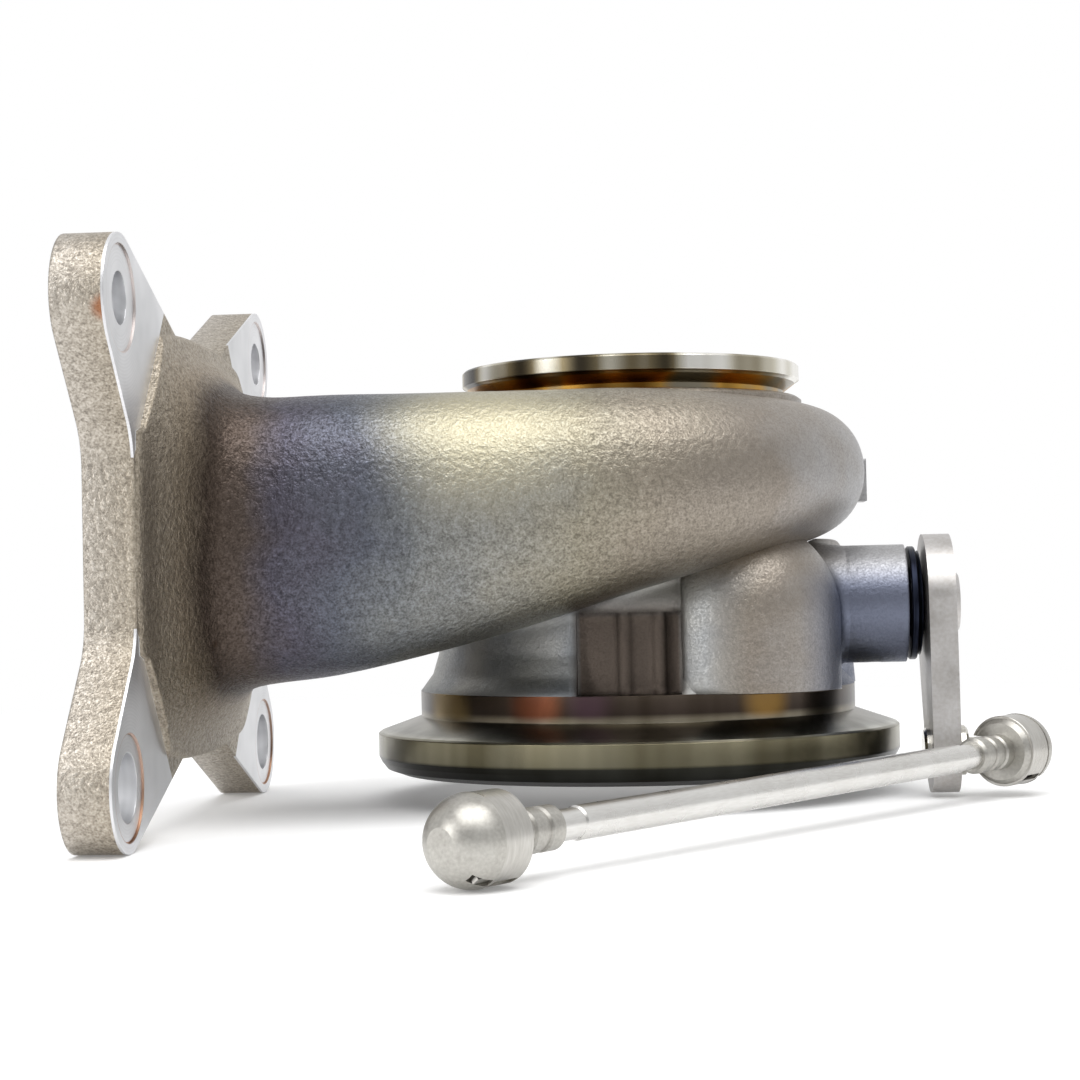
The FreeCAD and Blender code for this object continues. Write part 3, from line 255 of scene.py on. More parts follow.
# %% [markdown]
# ## The cast skin
#
# Grains of the ceramic mould leave bumps of about a millimetre that glint one by one.
# Two noises draw them: a coarse one for the bumps and a fine one for the blasted sparkle.
# Further round the spiral the mould was smoother, so the bumps fade along X.
#
# Heat has tinted the skin along the tube: sandy beige at the flange, a sharp change to
# brown, then blue and violet, grey, straw, and a warm grey round the spiral. The dark
# brown on the flare is partly painted shade: the tint is darkened there for the shade
# the flare lies in. A ramp along X holds those colours, and slow clouds push the
# borders to and fro, except at the flange, where the change is sharp on the real part.

# %% Cast housing: grain and heat tint
GRAIN = 1.0 * MM
SPARKLE = 0.38 * MM
CLOUD = 24 * MM
TINT_START, TINT_END = -84 * MM, 46 * MM
SHARP_X, SOFT_X = -70 * MM, -40 * MM

grains = add(tree, "ShaderNodeTexNoise", {"Vector": place, "Scale": 1 / GRAIN, "Detail": 3.0,
                                          "Roughness": 0.6}).outputs["Fac"]
sparkle = add(tree, "ShaderNodeTexNoise", {"Vector": place, "Scale": 1 / SPARKLE,
                                           "Detail": 2.0}).outputs["Fac"]
clouds = add(tree, "ShaderNodeTexNoise", {"Vector": place, "Scale": 1 / CLOUD, "Detail": 3.0,
                                          "Roughness": 0.6}).outputs["Fac"]
sway = add(tree, "ShaderNodeMapRange", {"Value": x, "From Min": SHARP_X, "From Max": SOFT_X,
                                        "To Min": 4 * MM, "To Max": 40 * MM}).outputs[0]
drift = add(tree, "ShaderNodeMath", {0: clouds, 1: 0.5}, operation="SUBTRACT").outputs[0]
along = add(tree, "ShaderNodeMath", {0: drift, 1: sway, 2: x},
            operation="MULTIPLY_ADD").outputs[0]
along = add(tree, "ShaderNodeMapRange", {"Value": along, "From Min": TINT_START,
                                         "From Max": TINT_END}).outputs[0]
# The dark brown stops at 0.116 and 0.155 lie on the flare: brown heat tint, darkened as painted
# shade
tint = add(tree, "ShaderNodeValToRGB", {0: along}, stops=(
    (0.0, "#cdc7bf"), (1.0, "#b4b4b6"), (0.065, "#bdb4a6"), (0.098, "#a89b89"),
    (0.116, "#5b5048"), (0.155, "#645a55"), (0.20, "#656370"), (0.27, "#6b6f7b"),
    (0.36, "#84888c"), (0.46, "#9b9c99"), (0.57, "#a8a394"), (0.68, "#a59d90"),
    (0.83, "#9d958c"))).outputs[0]
print("tint runs from x %.0f to %.0f mm" % (TINT_START / MM, TINT_END / MM))

# %% Cast housing: specks over the tint
CALM_START, CALM_END = -5 * MM, 30 * MM
both_grains = add(tree, "ShaderNodeMix", {0: 0.5, 2: grains, 3: sparkle},
                  data_type="FLOAT").outputs[0]
speck = add(tree, "ShaderNodeValToRGB", {0: both_grains}, stops=(
    (0.36, "#9a9691"), (0.64, "#ffffff"), (0.5, "#d6d3ce"))).outputs[0]
calm = add(tree, "ShaderNodeMapRange", {"Value": x, "From Min": CALM_START,
                                        "From Max": CALM_END, "To Min": 0.8,
                                        "To Max": 0.3}).outputs[0]
skin = add(tree, "ShaderNodeMix", {0: calm, 6: tint, 7: speck}, data_type="RGBA",
           blend_type="MULTIPLY").outputs[2]
print("grain %.1f mm, sparkle %.2f mm" % (GRAIN / MM, SPARKLE / MM))

# %% [markdown]
# ## Chamber, recess and boss
#
# Below the spiral the casting is smoother and cooler in colour: a bluish grey chamber,
# a dark brown hollow between two pads, and a dark blue-grey boss round the spindle. The
# hollow's dark brown is partly painted shade of the recess. Each is a soft mask mixed
# over the skin.

# %% Cast housing: cooler chamber
SPIRAL_FLOOR, CHAMBER_TOP = 40 * MM, 33 * MM
SPIRAL_REACH, CHAMBER_REACH = 47 * MM, 43 * MM
low_down = add(tree, "ShaderNodeMapRange", {"Value": z, "From Min": SPIRAL_FLOOR,
                                            "From Max": CHAMBER_TOP},
               interpolation_type="SMOOTHSTEP").outputs[0]
inside = add(tree, "ShaderNodeMapRange", {"Value": radius, "From Min": SPIRAL_REACH,
                                          "From Max": CHAMBER_REACH}).outputs[0]
chamber_zone = add(tree, "ShaderNodeMath", {0: low_down, 1: inside},
                   operation="MULTIPLY").outputs[0]
chamber_tint = add(tree, "ShaderNodeValToRGB", {0: clouds}, stops=(
    (0.35, "#7f8388"), (0.65, "#a3a29e"))).outputs[0]
skin = add(tree, "ShaderNodeMix", {0: chamber_zone, 6: skin, 7: chamber_tint},
           data_type="RGBA").outputs[2]
print("chamber tint below z %.0f mm" % (SPIRAL_FLOOR / MM))

# %% Cast housing: brown hollow with painted shade
# Along each direction, the place where the hollow starts and where it is full
HOLLOW_X, HOLLOW_Y, HOLLOW_Z = (10.4 * MM, 8.6 * MM), (-30 * MM, -33 * MM), (34 * MM, 29 * MM)
across = add(tree, "ShaderNodeMath", {0: x}, operation="ABSOLUTE").outputs[0]
hollow_x, hollow_y, hollow_z = [
    add(tree, "ShaderNodeMapRange", {"Value": value, "From Min": start,
                                     "From Max": full}).outputs[0]
    for value, (start, full) in ((across, HOLLOW_X), (y, HOLLOW_Y), (z, HOLLOW_Z))]
hollow = add(tree, "ShaderNodeMath", {0: hollow_x, 1: hollow_z}, operation="MULTIPLY").outputs[0]
hollow = add(tree, "ShaderNodeMath", {0: hollow, 1: hollow_y}, operation="MULTIPLY").outputs[0]
# Painted shade: the recess is darkened to dark brown, over its own brown colour
skin = add(tree, "ShaderNodeMix", {0: hollow, 6: skin, 7: linear("#5d544d")},
           data_type="RGBA").outputs[2]
print("hollow %.1f mm wide" % (2 * HOLLOW_X[0] / MM))

# %% Cast housing: blue-grey boss
BOSS_START, BOSS_FULL = 30 * MM, 38 * MM
boss_x = add(tree, "ShaderNodeMapRange", {"Value": x, "From Min": BOSS_START,
                                          "From Max": BOSS_FULL}).outputs[0]
boss_zone = add(tree, "ShaderNodeMath", {0: boss_x, 1: low_down}, operation="MULTIPLY").outputs[0]
skin = add(tree, "ShaderNodeMix", {0: boss_zone, 6: skin, 7: linear("#6f7484")},
           data_type="RGBA").outputs[2]
print("boss tint from x %.0f mm" % (BOSS_START / MM))

# %% [markdown]
# ## Stains, chips and heat blooms
#
# Real castings carry small accidents: rust by a bolt hole, two fresh chips, a pit. Each
# is a ball in space with a soft edge: inside it, the skin takes another colour. The pale
# straw patch on top of the tube is a large ball of the same kind: a straw tint, made
# paler as a painted highlight where the top of the tube faces the lamps. A table of
# centre, core and edge in millimetres, colour and strength keeps them easy to move.

# %% A ball with a soft edge
def soft_ball(centre, core, edge, strength):
    """Mask that is strength within core of the centre and fades to nothing at edge, in mm."""
    away = add(tree, "ShaderNodeVectorMath", {0: place, 1: Vector(centre) * MM},
               operation="DISTANCE").outputs["Value"]
    return add(tree, "ShaderNodeMapRange", {"Value": away, "From Min": edge * MM,
                                            "From Max": core * MM, "To Max": strength},
               interpolation_type="SMOOTHSTEP").outputs[0]


# %% Cast housing: marks on the skin
SKIN_MARKS = (
    ("rust by the upper hole", (-75.5, -101.9, 78.4), 0.8, 2.8, "#9a5a2c", 0.75),
    ("brown edge by the lower hole", (-75.5, -104.3, 5.2), 0.8, 2.6, "#74441f", 0.7),
    ("larger chip", (-65.6, -62.0, 22.8), 0.5, 0.9, "#fff4dc", 1.0),
    ("smaller chip", (-66.5, -62.0, 22.0), 0.3, 0.7, "#fff4dc", 1.0),
    ("pit", (-68.8, -63.0, 26.6), 0.4, 1.1, "#3a2c22", 0.9),
    # Straw tint, made paler as a painted highlight on the top of the tube
    ("straw tint with painted highlight", (-23.0, -58.0, 66.0), 4.0, 24.0, "#cfc6a6", 0.6),
)
for title, centre, core, edge, colour, strength in SKIN_MARKS:
    mark = soft_ball(centre, core, edge, strength)
    skin = add(tree, "ShaderNodeMix", {0: mark, 6: skin, 7: linear(colour)},
               data_type="RGBA").outputs[2]
    print("mark:", title)

# %% [markdown]
# ## Turned clamp flanges
#
# Both round joints are turned on a lathe and then see the most heat. Their colour changes
# with height, and most of it is painted light: painted shade, black, under the rim, a
# painted olive reflection on the rim with a painted highlight along its edge, a grey
# flank and painted shade in the dark groove. A ramp along Z holds that order, and a soft
# noise round the rim keeps it from looking printed.
# The heat blooms of the groove are balls again, as the stains are.

# %% Cast housing: outlet flange
RIM_MIDDLE, RIM_REACH, RIM_RADIUS = 7.2 * MM, 8.25 * MM, 51 * MM
RIM_TOP = 16 * MM
BLUR = 9 * MM
outlet_zone = add(tree, "ShaderNodeMath", {0: z, 1: RIM_MIDDLE, 2: RIM_REACH},
                  operation="COMPARE").outputs[0]
within = add(tree, "ShaderNodeMath", {0: radius, 1: RIM_RADIUS},
             operation="LESS_THAN").outputs[0]
outlet_zone = add(tree, "ShaderNodeMath", {0: outlet_zone, 1: within},
                  operation="MULTIPLY").outputs[0]
height = add(tree, "ShaderNodeMapRange", {"Value": z, "From Min": 0.0,
                                          "From Max": RIM_TOP}).outputs[0]
# Painted light along Z: painted shade under the rim and in the groove, a painted olive reflection
# and a painted highlight line on the rim
rim = add(tree, "ShaderNodeValToRGB", {0: height}, stops=(
    (0.0, "#191917"), (1.0, "#5a5148"), (0.20, "#2c2c28"), (0.235, "#6f6b5a"),
    (0.47, "#86816c"), (0.50, "#b9b8ae"), (0.53, "#8b8a82"), (0.70, "#7b7466"),
    (0.76, "#3d3530"), (0.9, "#4c433c"))).outputs[0]
blur = add(tree, "ShaderNodeTexNoise", {"Vector": flat, "Scale": 1 / BLUR,
                                        "Detail": 2.0}).outputs["Fac"]
blur_shade = add(tree, "ShaderNodeValToRGB", {0: blur}, stops=(
    (0.36, "#9a9481"), (0.64, "#ffffff"))).outputs[0]
rim = add(tree, "ShaderNodeMix", {0: 0.7, 6: rim, 7: blur_shade}, data_type="RGBA",
          blend_type="MULTIPLY").outputs[2]
print("outlet rim up to z %.0f mm" % (RIM_TOP / MM))

# %% Cast housing: heat blooms in the groove
GROOVE_BLOOMS = (
    ((-17.0, -38.6, 14.4), 1.5, 7.0, "#7d4429", 0.6),
    ((-7.0, -41.6, 14.6), 1.0, 6.0, "#4c3644", 0.5),
    ((24.0, -34.0, 14.2), 1.5, 6.5, "#947238", 0.6),
    ((-34.0, -24.0, 12.4), 3.0, 9.0, "#b9a06a", 0.5),
    ((36.0, 20.0, 12.4), 4.0, 12.0, "#9a6a35", 0.7),
    ((-10.0, 41.0, 12.4), 5.0, 14.0, "#5b5068", 0.6),
    ((-40.0, 10.0, 12.4), 4.0, 12.0, "#a5602f", 0.6),
)
GROOVE_START, GROOVE_FULL = 10.2 * MM, 11.6 * MM
groove_only = add(tree, "ShaderNodeMapRange", {"Value": z, "From Min": GROOVE_START,
                                               "From Max": GROOVE_FULL}).outputs[0]
for centre, core, edge, colour, strength in GROOVE_BLOOMS:
    bloom = soft_ball(centre, core, edge, strength)
    bloom = add(tree, "ShaderNodeMath", {0: bloom, 1: groove_only},
                operation="MULTIPLY").outputs[0]
    rim = add(tree, "ShaderNodeMix", {0: bloom, 6: rim, 7: linear(colour)},
              data_type="RGBA").outputs[2]
print("groove blooms:", len(GROOVE_BLOOMS))

# %% [markdown]
# The upper flange is smaller and brighter. Its rim carries a painted reflection of the
# studio in hard white and black patches, and its groove is painted gold in the same
# reflection patches. The patches are a noise that reads only X and Y, so that they run
# straight down the rim as reflections do.

# %% Cast housing: bearing-side flange
TOP_MIDDLE, TOP_REACH = 77 * MM, 6.8 * MM
RING_RADIUS, RING_REACH = 29.6 * MM, 5.0 * MM
TOP_GROOVE_Z = 73.1 * MM
PATCH = 11 * MM
top_zone = add(tree, "ShaderNodeMath", {0: z, 1: TOP_MIDDLE, 2: TOP_REACH},
               operation="COMPARE").outputs[0]
ring = add(tree, "ShaderNodeMath", {0: radius, 1: RING_RADIUS, 2: RING_REACH},
           operation="COMPARE").outputs[0]
top_zone = add(tree, "ShaderNodeMath", {0: top_zone, 1: ring}, operation="MULTIPLY").outputs[0]
patches = add(tree, "ShaderNodeTexNoise", {"Vector": flat, "Scale": 1 / PATCH,
                                           "Detail": 1.0}).outputs["Fac"]
# Painted reflection: white and black patches of the studio on the rim, gold ones in the groove
painted_reflection_patches = add(tree, "ShaderNodeValToRGB", {0: patches}, stops=(
    (0.38, "#2a2620"), (0.66, "#f2f0ea"), (0.46, "#7c7158"), (0.55, "#c9c4b4"))).outputs[0]
gold_painted_reflection = add(tree, "ShaderNodeValToRGB", {0: patches}, stops=(
    (0.36, "#6f4c1c"), (0.64, "#8d8676"), (0.5, "#b58d44"))).outputs[0]
in_groove = add(tree, "ShaderNodeMath", {0: z, 1: TOP_GROOVE_Z},
                operation="LESS_THAN").outputs[0]
top_rim = add(tree, "ShaderNodeMix", {0: in_groove, 6: painted_reflection_patches, 7: gold_painted_reflection},
              data_type="RGBA").outputs[2]
print("upper rim: z %.1f to %.1f mm" % ((TOP_MIDDLE - TOP_REACH) / MM,
                                        (TOP_MIDDLE + TOP_REACH) / MM))

# %% [markdown]
# ## Milled seats
#
# The bolt facets and the gasket face are milled, nearly white, and the cutter has left
# faint rings round each hole. A sine of the distance from the bolt axis draws the rings
# every 0.55 mm, and a rusty line shows how far the cutter reached. Inside the holes, fine
# lines 1.25 mm apart stand for threads and drill marks.

# %% Cast housing: milled facets, gasket face and holes
FACET_X, FACET_DEPTH, FACET_REACH = -75.5 * MM, 0.2 * MM, 0.26 * MM
GASKET_X = -83.96 * MM
BORE_REACH = 5.62 * MM
# A facet starts at a slanting line: a point of it, and the direction square to it
LINE_Y, LINE_Z = 41.2 * MM, 18.5 * MM
SQUARE_Y, SQUARE_Z = 19.5, 16.1
side = add(tree, "ShaderNodeVectorMath", {0: quarter, 1: (0, SQUARE_Y, SQUARE_Z)},
           operation="DOT_PRODUCT").outputs["Value"]
beyond = add(tree, "ShaderNodeMath", {0: side, 1: LINE_Y * SQUARE_Y + LINE_Z * SQUARE_Z},
             operation="GREATER_THAN").outputs[0]
on_facet = add(tree, "ShaderNodeMath", {0: x, 1: FACET_X - FACET_DEPTH, 2: FACET_REACH},
               operation="COMPARE").outputs[0]
facet_zone = add(tree, "ShaderNodeMath", {0: beyond, 1: on_facet},
                 operation="MULTIPLY").outputs[0]
in_bore = add(tree, "ShaderNodeMath", {0: bolt, 1: BORE_REACH},
              operation="LESS_THAN").outputs[0]
on_flange = add(tree, "ShaderNodeMath", {0: x, 1: FACET_X}, operation="LESS_THAN").outputs[0]
bore_zone = add(tree, "ShaderNodeMath", {0: in_bore, 1: on_flange},
                operation="MULTIPLY").outputs[0]
gasket_zone = add(tree, "ShaderNodeMath", {0: x, 1: GASKET_X},
                  operation="LESS_THAN").outputs[0]
milled_zone = add(tree, "ShaderNodeMath", {0: facet_zone, 1: bore_zone},
                  operation="MAXIMUM").outputs[0]
milled_zone = add(tree, "ShaderNodeMath", {0: milled_zone, 1: gasket_zone},
                  operation="MAXIMUM").outputs[0]
print("facets at x %.1f mm, gasket face at x %.2f mm" % (FACET_X / MM, GASKET_X / MM))

# %% Cast housing: marks of the cutter
CUTTER_STEP = 0.55 * MM
CUTTER_RADIUS, CUTTER_LINE = 8.4 * MM, 0.16 * MM
THREAD_STEP = 1.25 * MM
turns = add(tree, "ShaderNodeMath", {0: bolt, 1: 2 * math.pi / CUTTER_STEP},
            operation="MULTIPLY").outputs[0]
threads = add(tree, "ShaderNodeMath", {0: x, 1: 2 * math.pi / THREAD_STEP},
              operation="MULTIPLY").outputs[0]
phase = add(tree, "ShaderNodeMix", {0: bore_zone, 2: turns, 3: threads},
            data_type="FLOAT").outputs[0]
lines = add(tree, "ShaderNodeMath", {0: phase}, operation="SINE").outputs[0]
line_shade = add(tree, "ShaderNodeMapRange", {"Value": lines, "From Min": -1.0, "From Max": 1.0,
                                              "To Min": 0.95, "To Max": 1.0}).outputs[0]
milled = add(tree, "ShaderNodeValToRGB", {0: clouds}, stops=(
    (0.3, "#cfd0d2"), (0.7, "#f0f0f2"))).outputs[0]
milled = add(tree, "ShaderNodeMix", {0: 1.0, 6: milled, 7: line_shade}, data_type="RGBA",
             blend_type="MULTIPLY").outputs[2]
cutter_edge = add(tree, "ShaderNodeMath", {0: bolt, 1: CUTTER_RADIUS, 2: CUTTER_LINE},
                  operation="COMPARE").outputs[0]
rusty = add(tree, "ShaderNodeMapRange", {"Value": z, "From Min": 30 * MM, "From Max": 0.0,
                                         "To Min": 0.25, "To Max": 0.8}).outputs[0]
cutter_edge = add(tree, "ShaderNodeMath", {0: cutter_edge, 1: rusty},
                  operation="MULTIPLY").outputs[0]
milled = add(tree, "ShaderNodeMix", {0: cutter_edge, 6: milled, 7: linear("#a8703c")},
             data_type="RGBA").outputs[2]
print("cutter rings %.2f mm, threads %.2f mm" % (CUTTER_STEP / MM, THREAD_STEP / MM))

# %% [markdown]
# ## One shader for the casting
#
# The masks now choose colour and roughness, and the bumps are switched off wherever a
# tool has cut. A Bevel node rounds the light across edges, widely on the cast chamber and
# finely on machined seats. Everything is bare metal, so metallic is set on the shader.

# %% Cast housing: colour and roughness
TURNED_ROUGH, MILLED_ROUGH = 0.27, 0.42
colour = add(tree, "ShaderNodeMix", {0: outlet_zone, 6: skin, 7: rim},
             data_type="RGBA").outputs[2]
colour = add(tree, "ShaderNodeMix", {0: top_zone, 6: colour, 7: top_rim},
             data_type="RGBA").outputs[2]
colour = add(tree, "ShaderNodeMix", {0: milled_zone, 6: colour, 7: milled},
             data_type="RGBA").outputs[2]
turned = add(tree, "ShaderNodeMath", {0: outlet_zone, 1: top_zone},
             operation="MAXIMUM").outputs[0]
cut_zone = add(tree, "ShaderNodeMath", {0: turned, 1: milled_zone},
               operation="MAXIMUM").outputs[0]
skin_rough = add(tree, "ShaderNodeMapRange", {"Value": sparkle, "From Min": 0.35, "From Max": 0.65,
                                              "To Min": 0.56, "To Max": 0.36}).outputs[0]
rough = add(tree, "ShaderNodeMix", {0: turned, 2: skin_rough, 3: TURNED_ROUGH},
            data_type="FLOAT").outputs[0]
rough = add(tree, "ShaderNodeMix", {0: milled_zone, 2: rough, 3: MILLED_ROUGH},
            data_type="FLOAT").outputs[0]
print("roughness: turned %.2f, milled %.2f" % (TURNED_ROUGH, MILLED_ROUGH))

# %% Cast housing: bumps, worn edges and the shader
EDGE_TOOL, EDGE_SKIN, EDGE_CHAMBER = 0.25 * MM, 0.7 * MM, 2.6 * MM
BUMP_HEIGHT = 0.42 * MM
SPARKLE_SHARE, CHAMBER_FADE = 0.3, 0.22
bumps = add(tree, "ShaderNodeMath", {0: sparkle, 1: SPARKLE_SHARE, 2: grains},
            operation="MULTIPLY_ADD").outputs[0]
fade = add(tree, "ShaderNodeMix", {0: chamber_zone, 2: calm, 3: CHAMBER_FADE},
           data_type="FLOAT").outputs[0]
rough_only = add(tree, "ShaderNodeMath", {0: 1.0, 1: cut_zone},
                 operation="SUBTRACT").outputs[0]
fade = add(tree, "ShaderNodeMath", {0: fade, 1: rough_only}, operation="MULTIPLY").outputs[0]
bumps = add(tree, "ShaderNodeMath", {0: bumps, 1: fade}, operation="MULTIPLY").outputs[0]
soft_edge = add(tree, "ShaderNodeMix", {0: chamber_zone, 2: EDGE_SKIN, 3: EDGE_CHAMBER},
                data_type="FLOAT").outputs[0]
soft_edge = add(tree, "ShaderNodeMix", {0: cut_zone, 2: soft_edge, 3: EDGE_TOOL},
                data_type="FLOAT").outputs[0]
worn_edges = add(tree, "ShaderNodeBevel", {"Radius": soft_edge}, samples=6).outputs[0]
relief = add(tree, "ShaderNodeBump", {"Height": bumps, "Strength": 0.8,
                                      "Distance": BUMP_HEIGHT, "Normal": worn_edges})
steel = add(tree, "ShaderNodeBsdfPrincipled", {"Base Color": colour, "Roughness": rough,
                                               "Metallic": 1.0, "Normal": relief.outputs[0]})
add(tree, "ShaderNodeOutputMaterial", {"Surface": steel.outputs[0]})
print("cast housing nodes:", len(tree.nodes))

# %% [markdown]
# ## The swelling round the wastegate
#
# On the real casting the wall swells over the wastegate pocket, and the swelling, the
# boss of the spindle and the spiral flow into each other. The measured model has that
# place as a plain ball, so a softer skin is fitted over it. Four primitives are laid into
# each other and remeshed into one, which is how a pattern maker works too: rough shapes
# first, then filler rubbed into the corners. A long smoothing pass is the filler.

# %% Swelling: four shapes in one mesh
POCKET_X, POCKET_Y = 20 * MM, -24 * MM
SPINDLE_Y, SPINDLE_Z = -10.4 * MM, 30.4 * MM
SWELL_RADIUS = 18.1 * MM

bpy.ops.object.select_all(action="DESELECT")
bpy.ops.mesh.primitive_cylinder_add(vertices=96, radius=SWELL_RADIUS, depth=17.0 * MM,
                                    location=(POCKET_X, POCKET_Y, 21.5 * MM))
swelling = bpy.context.object
swelling.name = "wastegate_swelling"
bpy.ops.object.mode_set(mode="EDIT")
bpy.ops.mesh.primitive_uv_sphere_add(segments=96, ring_count=48, radius=SWELL_RADIUS,
                                     location=(POCKET_X, POCKET_Y, 29.0 * MM))
bpy.ops.mesh.primitive_cone_add(vertices=96, radius1=13.4 * MM, radius2=10.6 * MM,
                                depth=20 * MM, location=(33 * MM, SPINDLE_Y, SPINDLE_Z),
                                rotation=(0, math.pi / 2, 0))
bpy.ops.mesh.primitive_cone_add(vertices=96, radius1=21.0 * MM, radius2=18.6 * MM,
                                depth=30 * MM, location=(21.5 * MM, 4 * MM, 28 * MM))
bpy.ops.object.mode_set(mode="OBJECT")
bpy.ops.object.transform_apply(location=True, rotation=True, scale=True)
print("swelling round x %.0f, y %.0f mm" % (POCKET_X / MM, POCKET_Y / MM))

# %% Swelling: one skin, rubbed smooth
VOXEL = 0.6 * MM
RUBS = 40
blend = swelling.modifiers.new("one_skin", "REMESH")
blend.mode = "VOXEL"
blend.voxel_size = VOXEL
filler = swelling.modifiers.new("filler", "SMOOTH")
filler.factor = 0.5
filler.iterations = RUBS
for name in ("one_skin", "filler"):
    bpy.ops.object.modifier_apply(modifier=name)
print("swelling faces:", len(swelling.data.polygons))

# %% [markdown]
# The skin must not fill what is open on the real part. Tool bodies take away the room
# inside the chamber, the pocket of the valve, the seat of the bushing and the hollow in
# front, and two bisects trim the skin at the clamp groove and under the spiral.

# %% Swelling: openings
def take_away(target, tool):
    """Cut the tool body out of the target and delete the tool."""
    cutter = target.modifiers.new("cutter", "BOOLEAN")
    cutter.operation = "DIFFERENCE"
    cutter.solver = "EXACT"
    cutter.object = tool
    bpy.ops.object.select_all(action="DESELECT")
    bpy.context.view_layer.objects.active = target
    target.select_set(True)
    bpy.ops.object.modifier_apply(modifier="cutter")
    bpy.data.objects.remove(tool)


CHAMBER_ROOM, POCKET_ROOM, BUSHING_ROOM = 35.2 * MM, 14.2 * MM, 9.0 * MM
bpy.ops.mesh.primitive_cylinder_add(vertices=128, radius=CHAMBER_ROOM, depth=100 * MM)
take_away(swelling, bpy.context.object)
bpy.ops.mesh.primitive_cylinder_add(vertices=96, radius=POCKET_ROOM, depth=60 * MM,
                                    location=(POCKET_X, POCKET_Y, 9 * MM))
take_away(swelling, bpy.context.object)
bpy.ops.mesh.primitive_cylinder_add(vertices=96, radius=BUSHING_ROOM, depth=80 * MM,
                                    location=(30 * MM, SPINDLE_Y, SPINDLE_Z),
                                    rotation=(0, math.pi / 2, 0))
take_away(swelling, bpy.context.object)
bpy.ops.mesh.primitive_cube_add(size=1, location=(-20 * MM, -40 * MM, 22 * MM))
bpy.context.object.scale = (58.8 * MM, 60 * MM, 60 * MM)
take_away(swelling, bpy.context.object)
print("swelling faces after the cuts:", len(swelling.data.polygons))

# %% Swelling: trims and finish
# A point of each plane in mm, and the direction in which the skin is cut off
GROOVE_TRIM = ((0, 0, 15.42), (0, 0, -1))
SPIRAL_TRIM = ((10, -37, 37.0), (-0.38, 0.10, 0.92))
bpy.ops.object.mode_set(mode="EDIT")
for point, direction in (GROOVE_TRIM, SPIRAL_TRIM):
    bpy.ops.mesh.select_all(action="SELECT")
    bpy.ops.mesh.bisect(plane_co=Vector(point) * MM, plane_no=direction, use_fill=True,
                        clear_outer=True)
bpy.ops.object.mode_set(mode="OBJECT")
bpy.ops.object.shade_smooth_by_angle(angle=math.radians(40))
swelling.data.materials.clear()
swelling.data.materials.append(cast)
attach(swelling, "housing")
print("swelling size in mm:", [round(side / MM, 1) for side in swelling.dimensions])

# %% [markdown]
# ## Small steels
#
# The rest is bar, sheet and rings. One function builds the finish of a turned, drawn or
# stamped steel piece from its two shades, its roughness and the spacing of its tool
# marks, because only those differ. The marks are a noise squeezed along one axis, so they
# become rings or scratches, and the same noise drives colour and a very shallow bump.

# %% Steels that a tool has worked
HAZE = 7 * MM
TOOL_RELIEF = 0.03 * MM


def worked_steel(name, light, dark, rough, marks, squeeze, turn=0.0):
    """Steel with tool marks.

    marks is their spacing, squeeze packs them along an axis, and turn is the angle by
    which the piece lies turned about Z.
    """
    made = bpy.data.materials.new(name)
    tree = empty_tree(made)
    place = add(tree, "ShaderNodeTexCoord").outputs["Object"]
    turned = add(tree, "ShaderNodeMapping", {"Vector": place, "Rotation": (0, 0, turn)}).outputs[0]
    packed = add(tree, "ShaderNodeMapping", {"Vector": turned, "Scale": squeeze}).outputs[0]
    lines = add(tree, "ShaderNodeTexNoise", {
        "Vector": packed, "Scale": 1 / (marks * max(squeeze)), "Detail": 3.0}).outputs["Fac"]
    haze = add(tree, "ShaderNodeTexNoise", {"Vector": place, "Scale": 1 / HAZE,
                                            "Detail": 3.0}).outputs["Fac"]
    shade = add(tree, "ShaderNodeMix", {0: 0.5, 2: lines, 3: haze}, data_type="FLOAT").outputs[0]
    colour = add(tree, "ShaderNodeValToRGB", {0: shade}, stops=((0.35, dark), (0.65, light)))
    gloss = add(tree, "ShaderNodeMapRange", {"Value": haze, "From Min": 0.3, "From Max": 0.7,
                                             "To Min": rough * 0.85, "To Max": rough * 1.2})
    relief = add(tree, "ShaderNodeBump", {"Height": lines, "Strength": 0.25,
                                          "Distance": TOOL_RELIEF})
    steel = add(tree, "ShaderNodeBsdfPrincipled", {
        "Base Color": colour.outputs[0], "Roughness": gloss.outputs[0], "Metallic": 1.0,
        "Normal": relief.outputs[0]})
    add(tree, "ShaderNodeOutputMaterial", {"Surface": steel.outputs[0]})
    return made
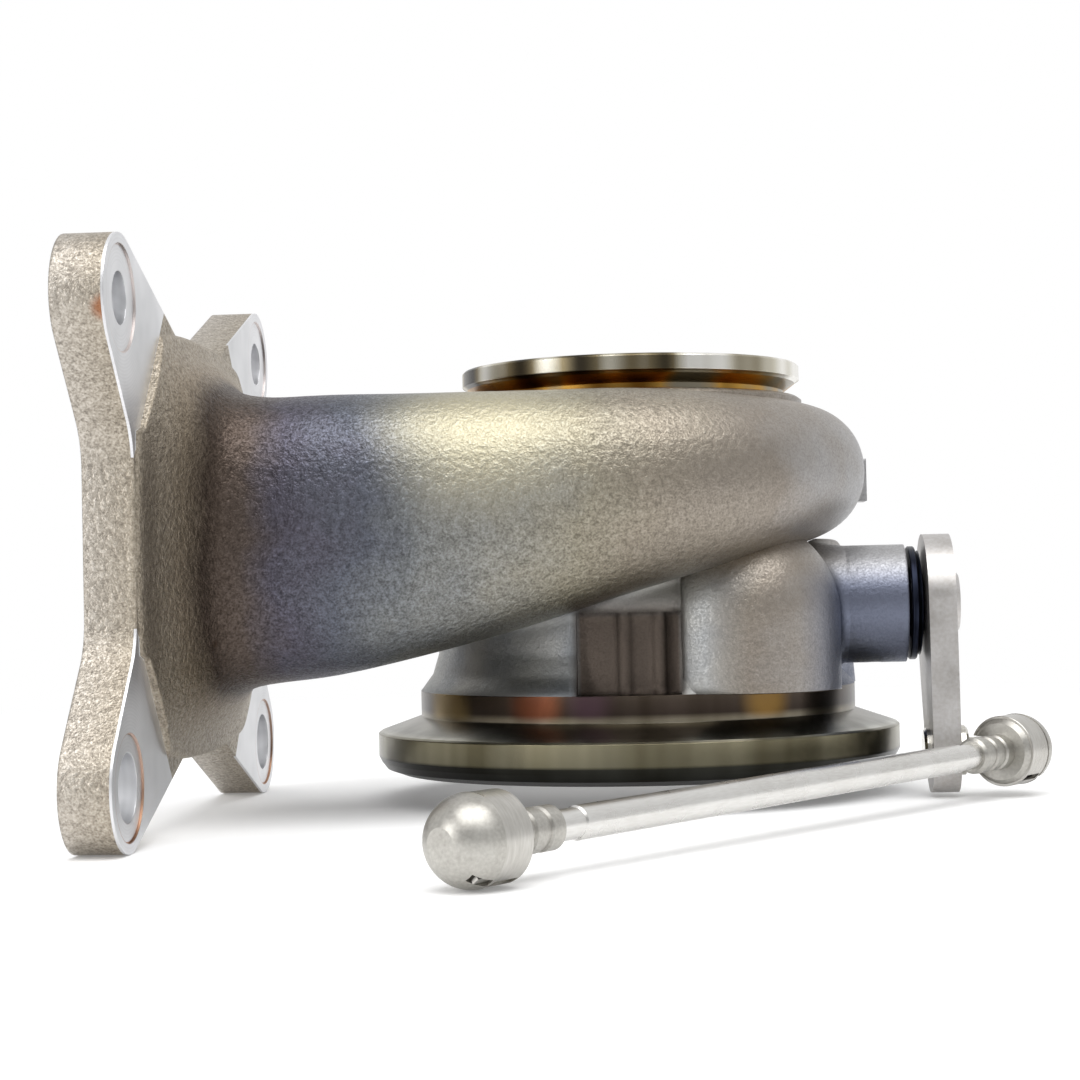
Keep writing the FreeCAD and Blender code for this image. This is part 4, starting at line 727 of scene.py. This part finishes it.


# %% [markdown]
# ## Which piece gets which finish
#
# The bushing is ground, the ring beside it is blued steel made nearly black as painted
# shade of the gap between boss and lever, the lever is stamped from plate and tumbled to
# a satin, and the link is bright drawn bar between tumbled sockets. The valve inside is a
# cast alloy that has darkened in the gas. The link lies 53.8 degrees from the X axis, so
# its finishes are first turned in line with Y.

# %% Finishes of the small pieces
LINK_HEADING = 53.8
LINK_TURN = math.radians(90 - LINK_HEADING)
FINISHES = {
    "turbine_housing": cast,
    # Ground: grey, with fine rings that dull the reflection a little
    "wastegate_bushing": worked_steel("bearing_steel_ground", "#9a9da6", "#6d7078", 0.32,
                                      0.3 * MM, (12, 1, 1)),
    # Blued steel, made nearly black as painted shade of the gap between boss and lever; blue only
    # where light grazes it
    "seal_ring": worked_steel("ring_steel_blued_painted_gap_shade", "#2e3342", "#14161f", 0.36,
                              0.4 * MM, (12, 1, 1)),
    # Tumbled plate: an even pale satin with no direction
    "lever": worked_steel("lever_plate_stamped_tumbled", "#c9c7c6", "#b5b1ad", 0.42,
                          0.7 * MM, (1, 1, 1)),
    # Polished: small sharp highlights
    "ball_stud": worked_steel("ball_steel_polished", "#d8d6d0", "#c2bfb6", 0.14,
                              0.4 * MM, (1, 1, 1)),
    # Drawn: bright, with fine scratches that run along the rod
    "link_rod": worked_steel("rod_steel_bright_drawn", "#dad9d6", "#cbc9c5", 0.27,
                             0.25 * MM, (8, 1, 8), LINK_TURN),
    # Tumbled: a soft highlight on grey steel
    "free_end_socket": worked_steel("socket_steel_tumbled", "#bcbab4", "#a3a09a", 0.39,
                                    0.5 * MM, (1, 1, 1), LINK_TURN),
    # Rolled spring sheet: brighter than the socket, faintly streaked
    "free_end_band": worked_steel("spring_sheet_bright_rolled", "#c6c4bf", "#aeaba5", 0.30,
                                  0.35 * MM, (1, 6, 1), LINK_TURN),
    # Oxidised in the gas: brown-grey and dull
    "spindle_arm": worked_steel("wastegate_alloy_cast_oxidised", "#7f7a72", "#5d5852", 0.55,
                                0.8 * MM, (1, 1, 1)),
}
SAME_FINISH = {
    "bushing_pin": "wastegate_bushing", "thrust_ring": "wastegate_bushing",
    "lever_disc_spring": "seal_ring", "valve_flap": "spindle_arm",
    "flap_disc_spring": "wastegate_bushing", "flap_retainer": "wastegate_bushing",
    "lever_weld_bead": "lever", "lever_end_socket": "free_end_socket",
    "lever_end_band": "free_end_band", "free_end_tongue": "free_end_band",
    "lever_end_tongue": "free_end_band",
}
for name, piece in nodes.items():
    finish = FINISHES.get(name) or FINISHES[SAME_FINISH[name]]
    piece.data.materials.clear()
    piece.data.materials.append(finish)
    print("%-20s %s" % (name, finish.name))
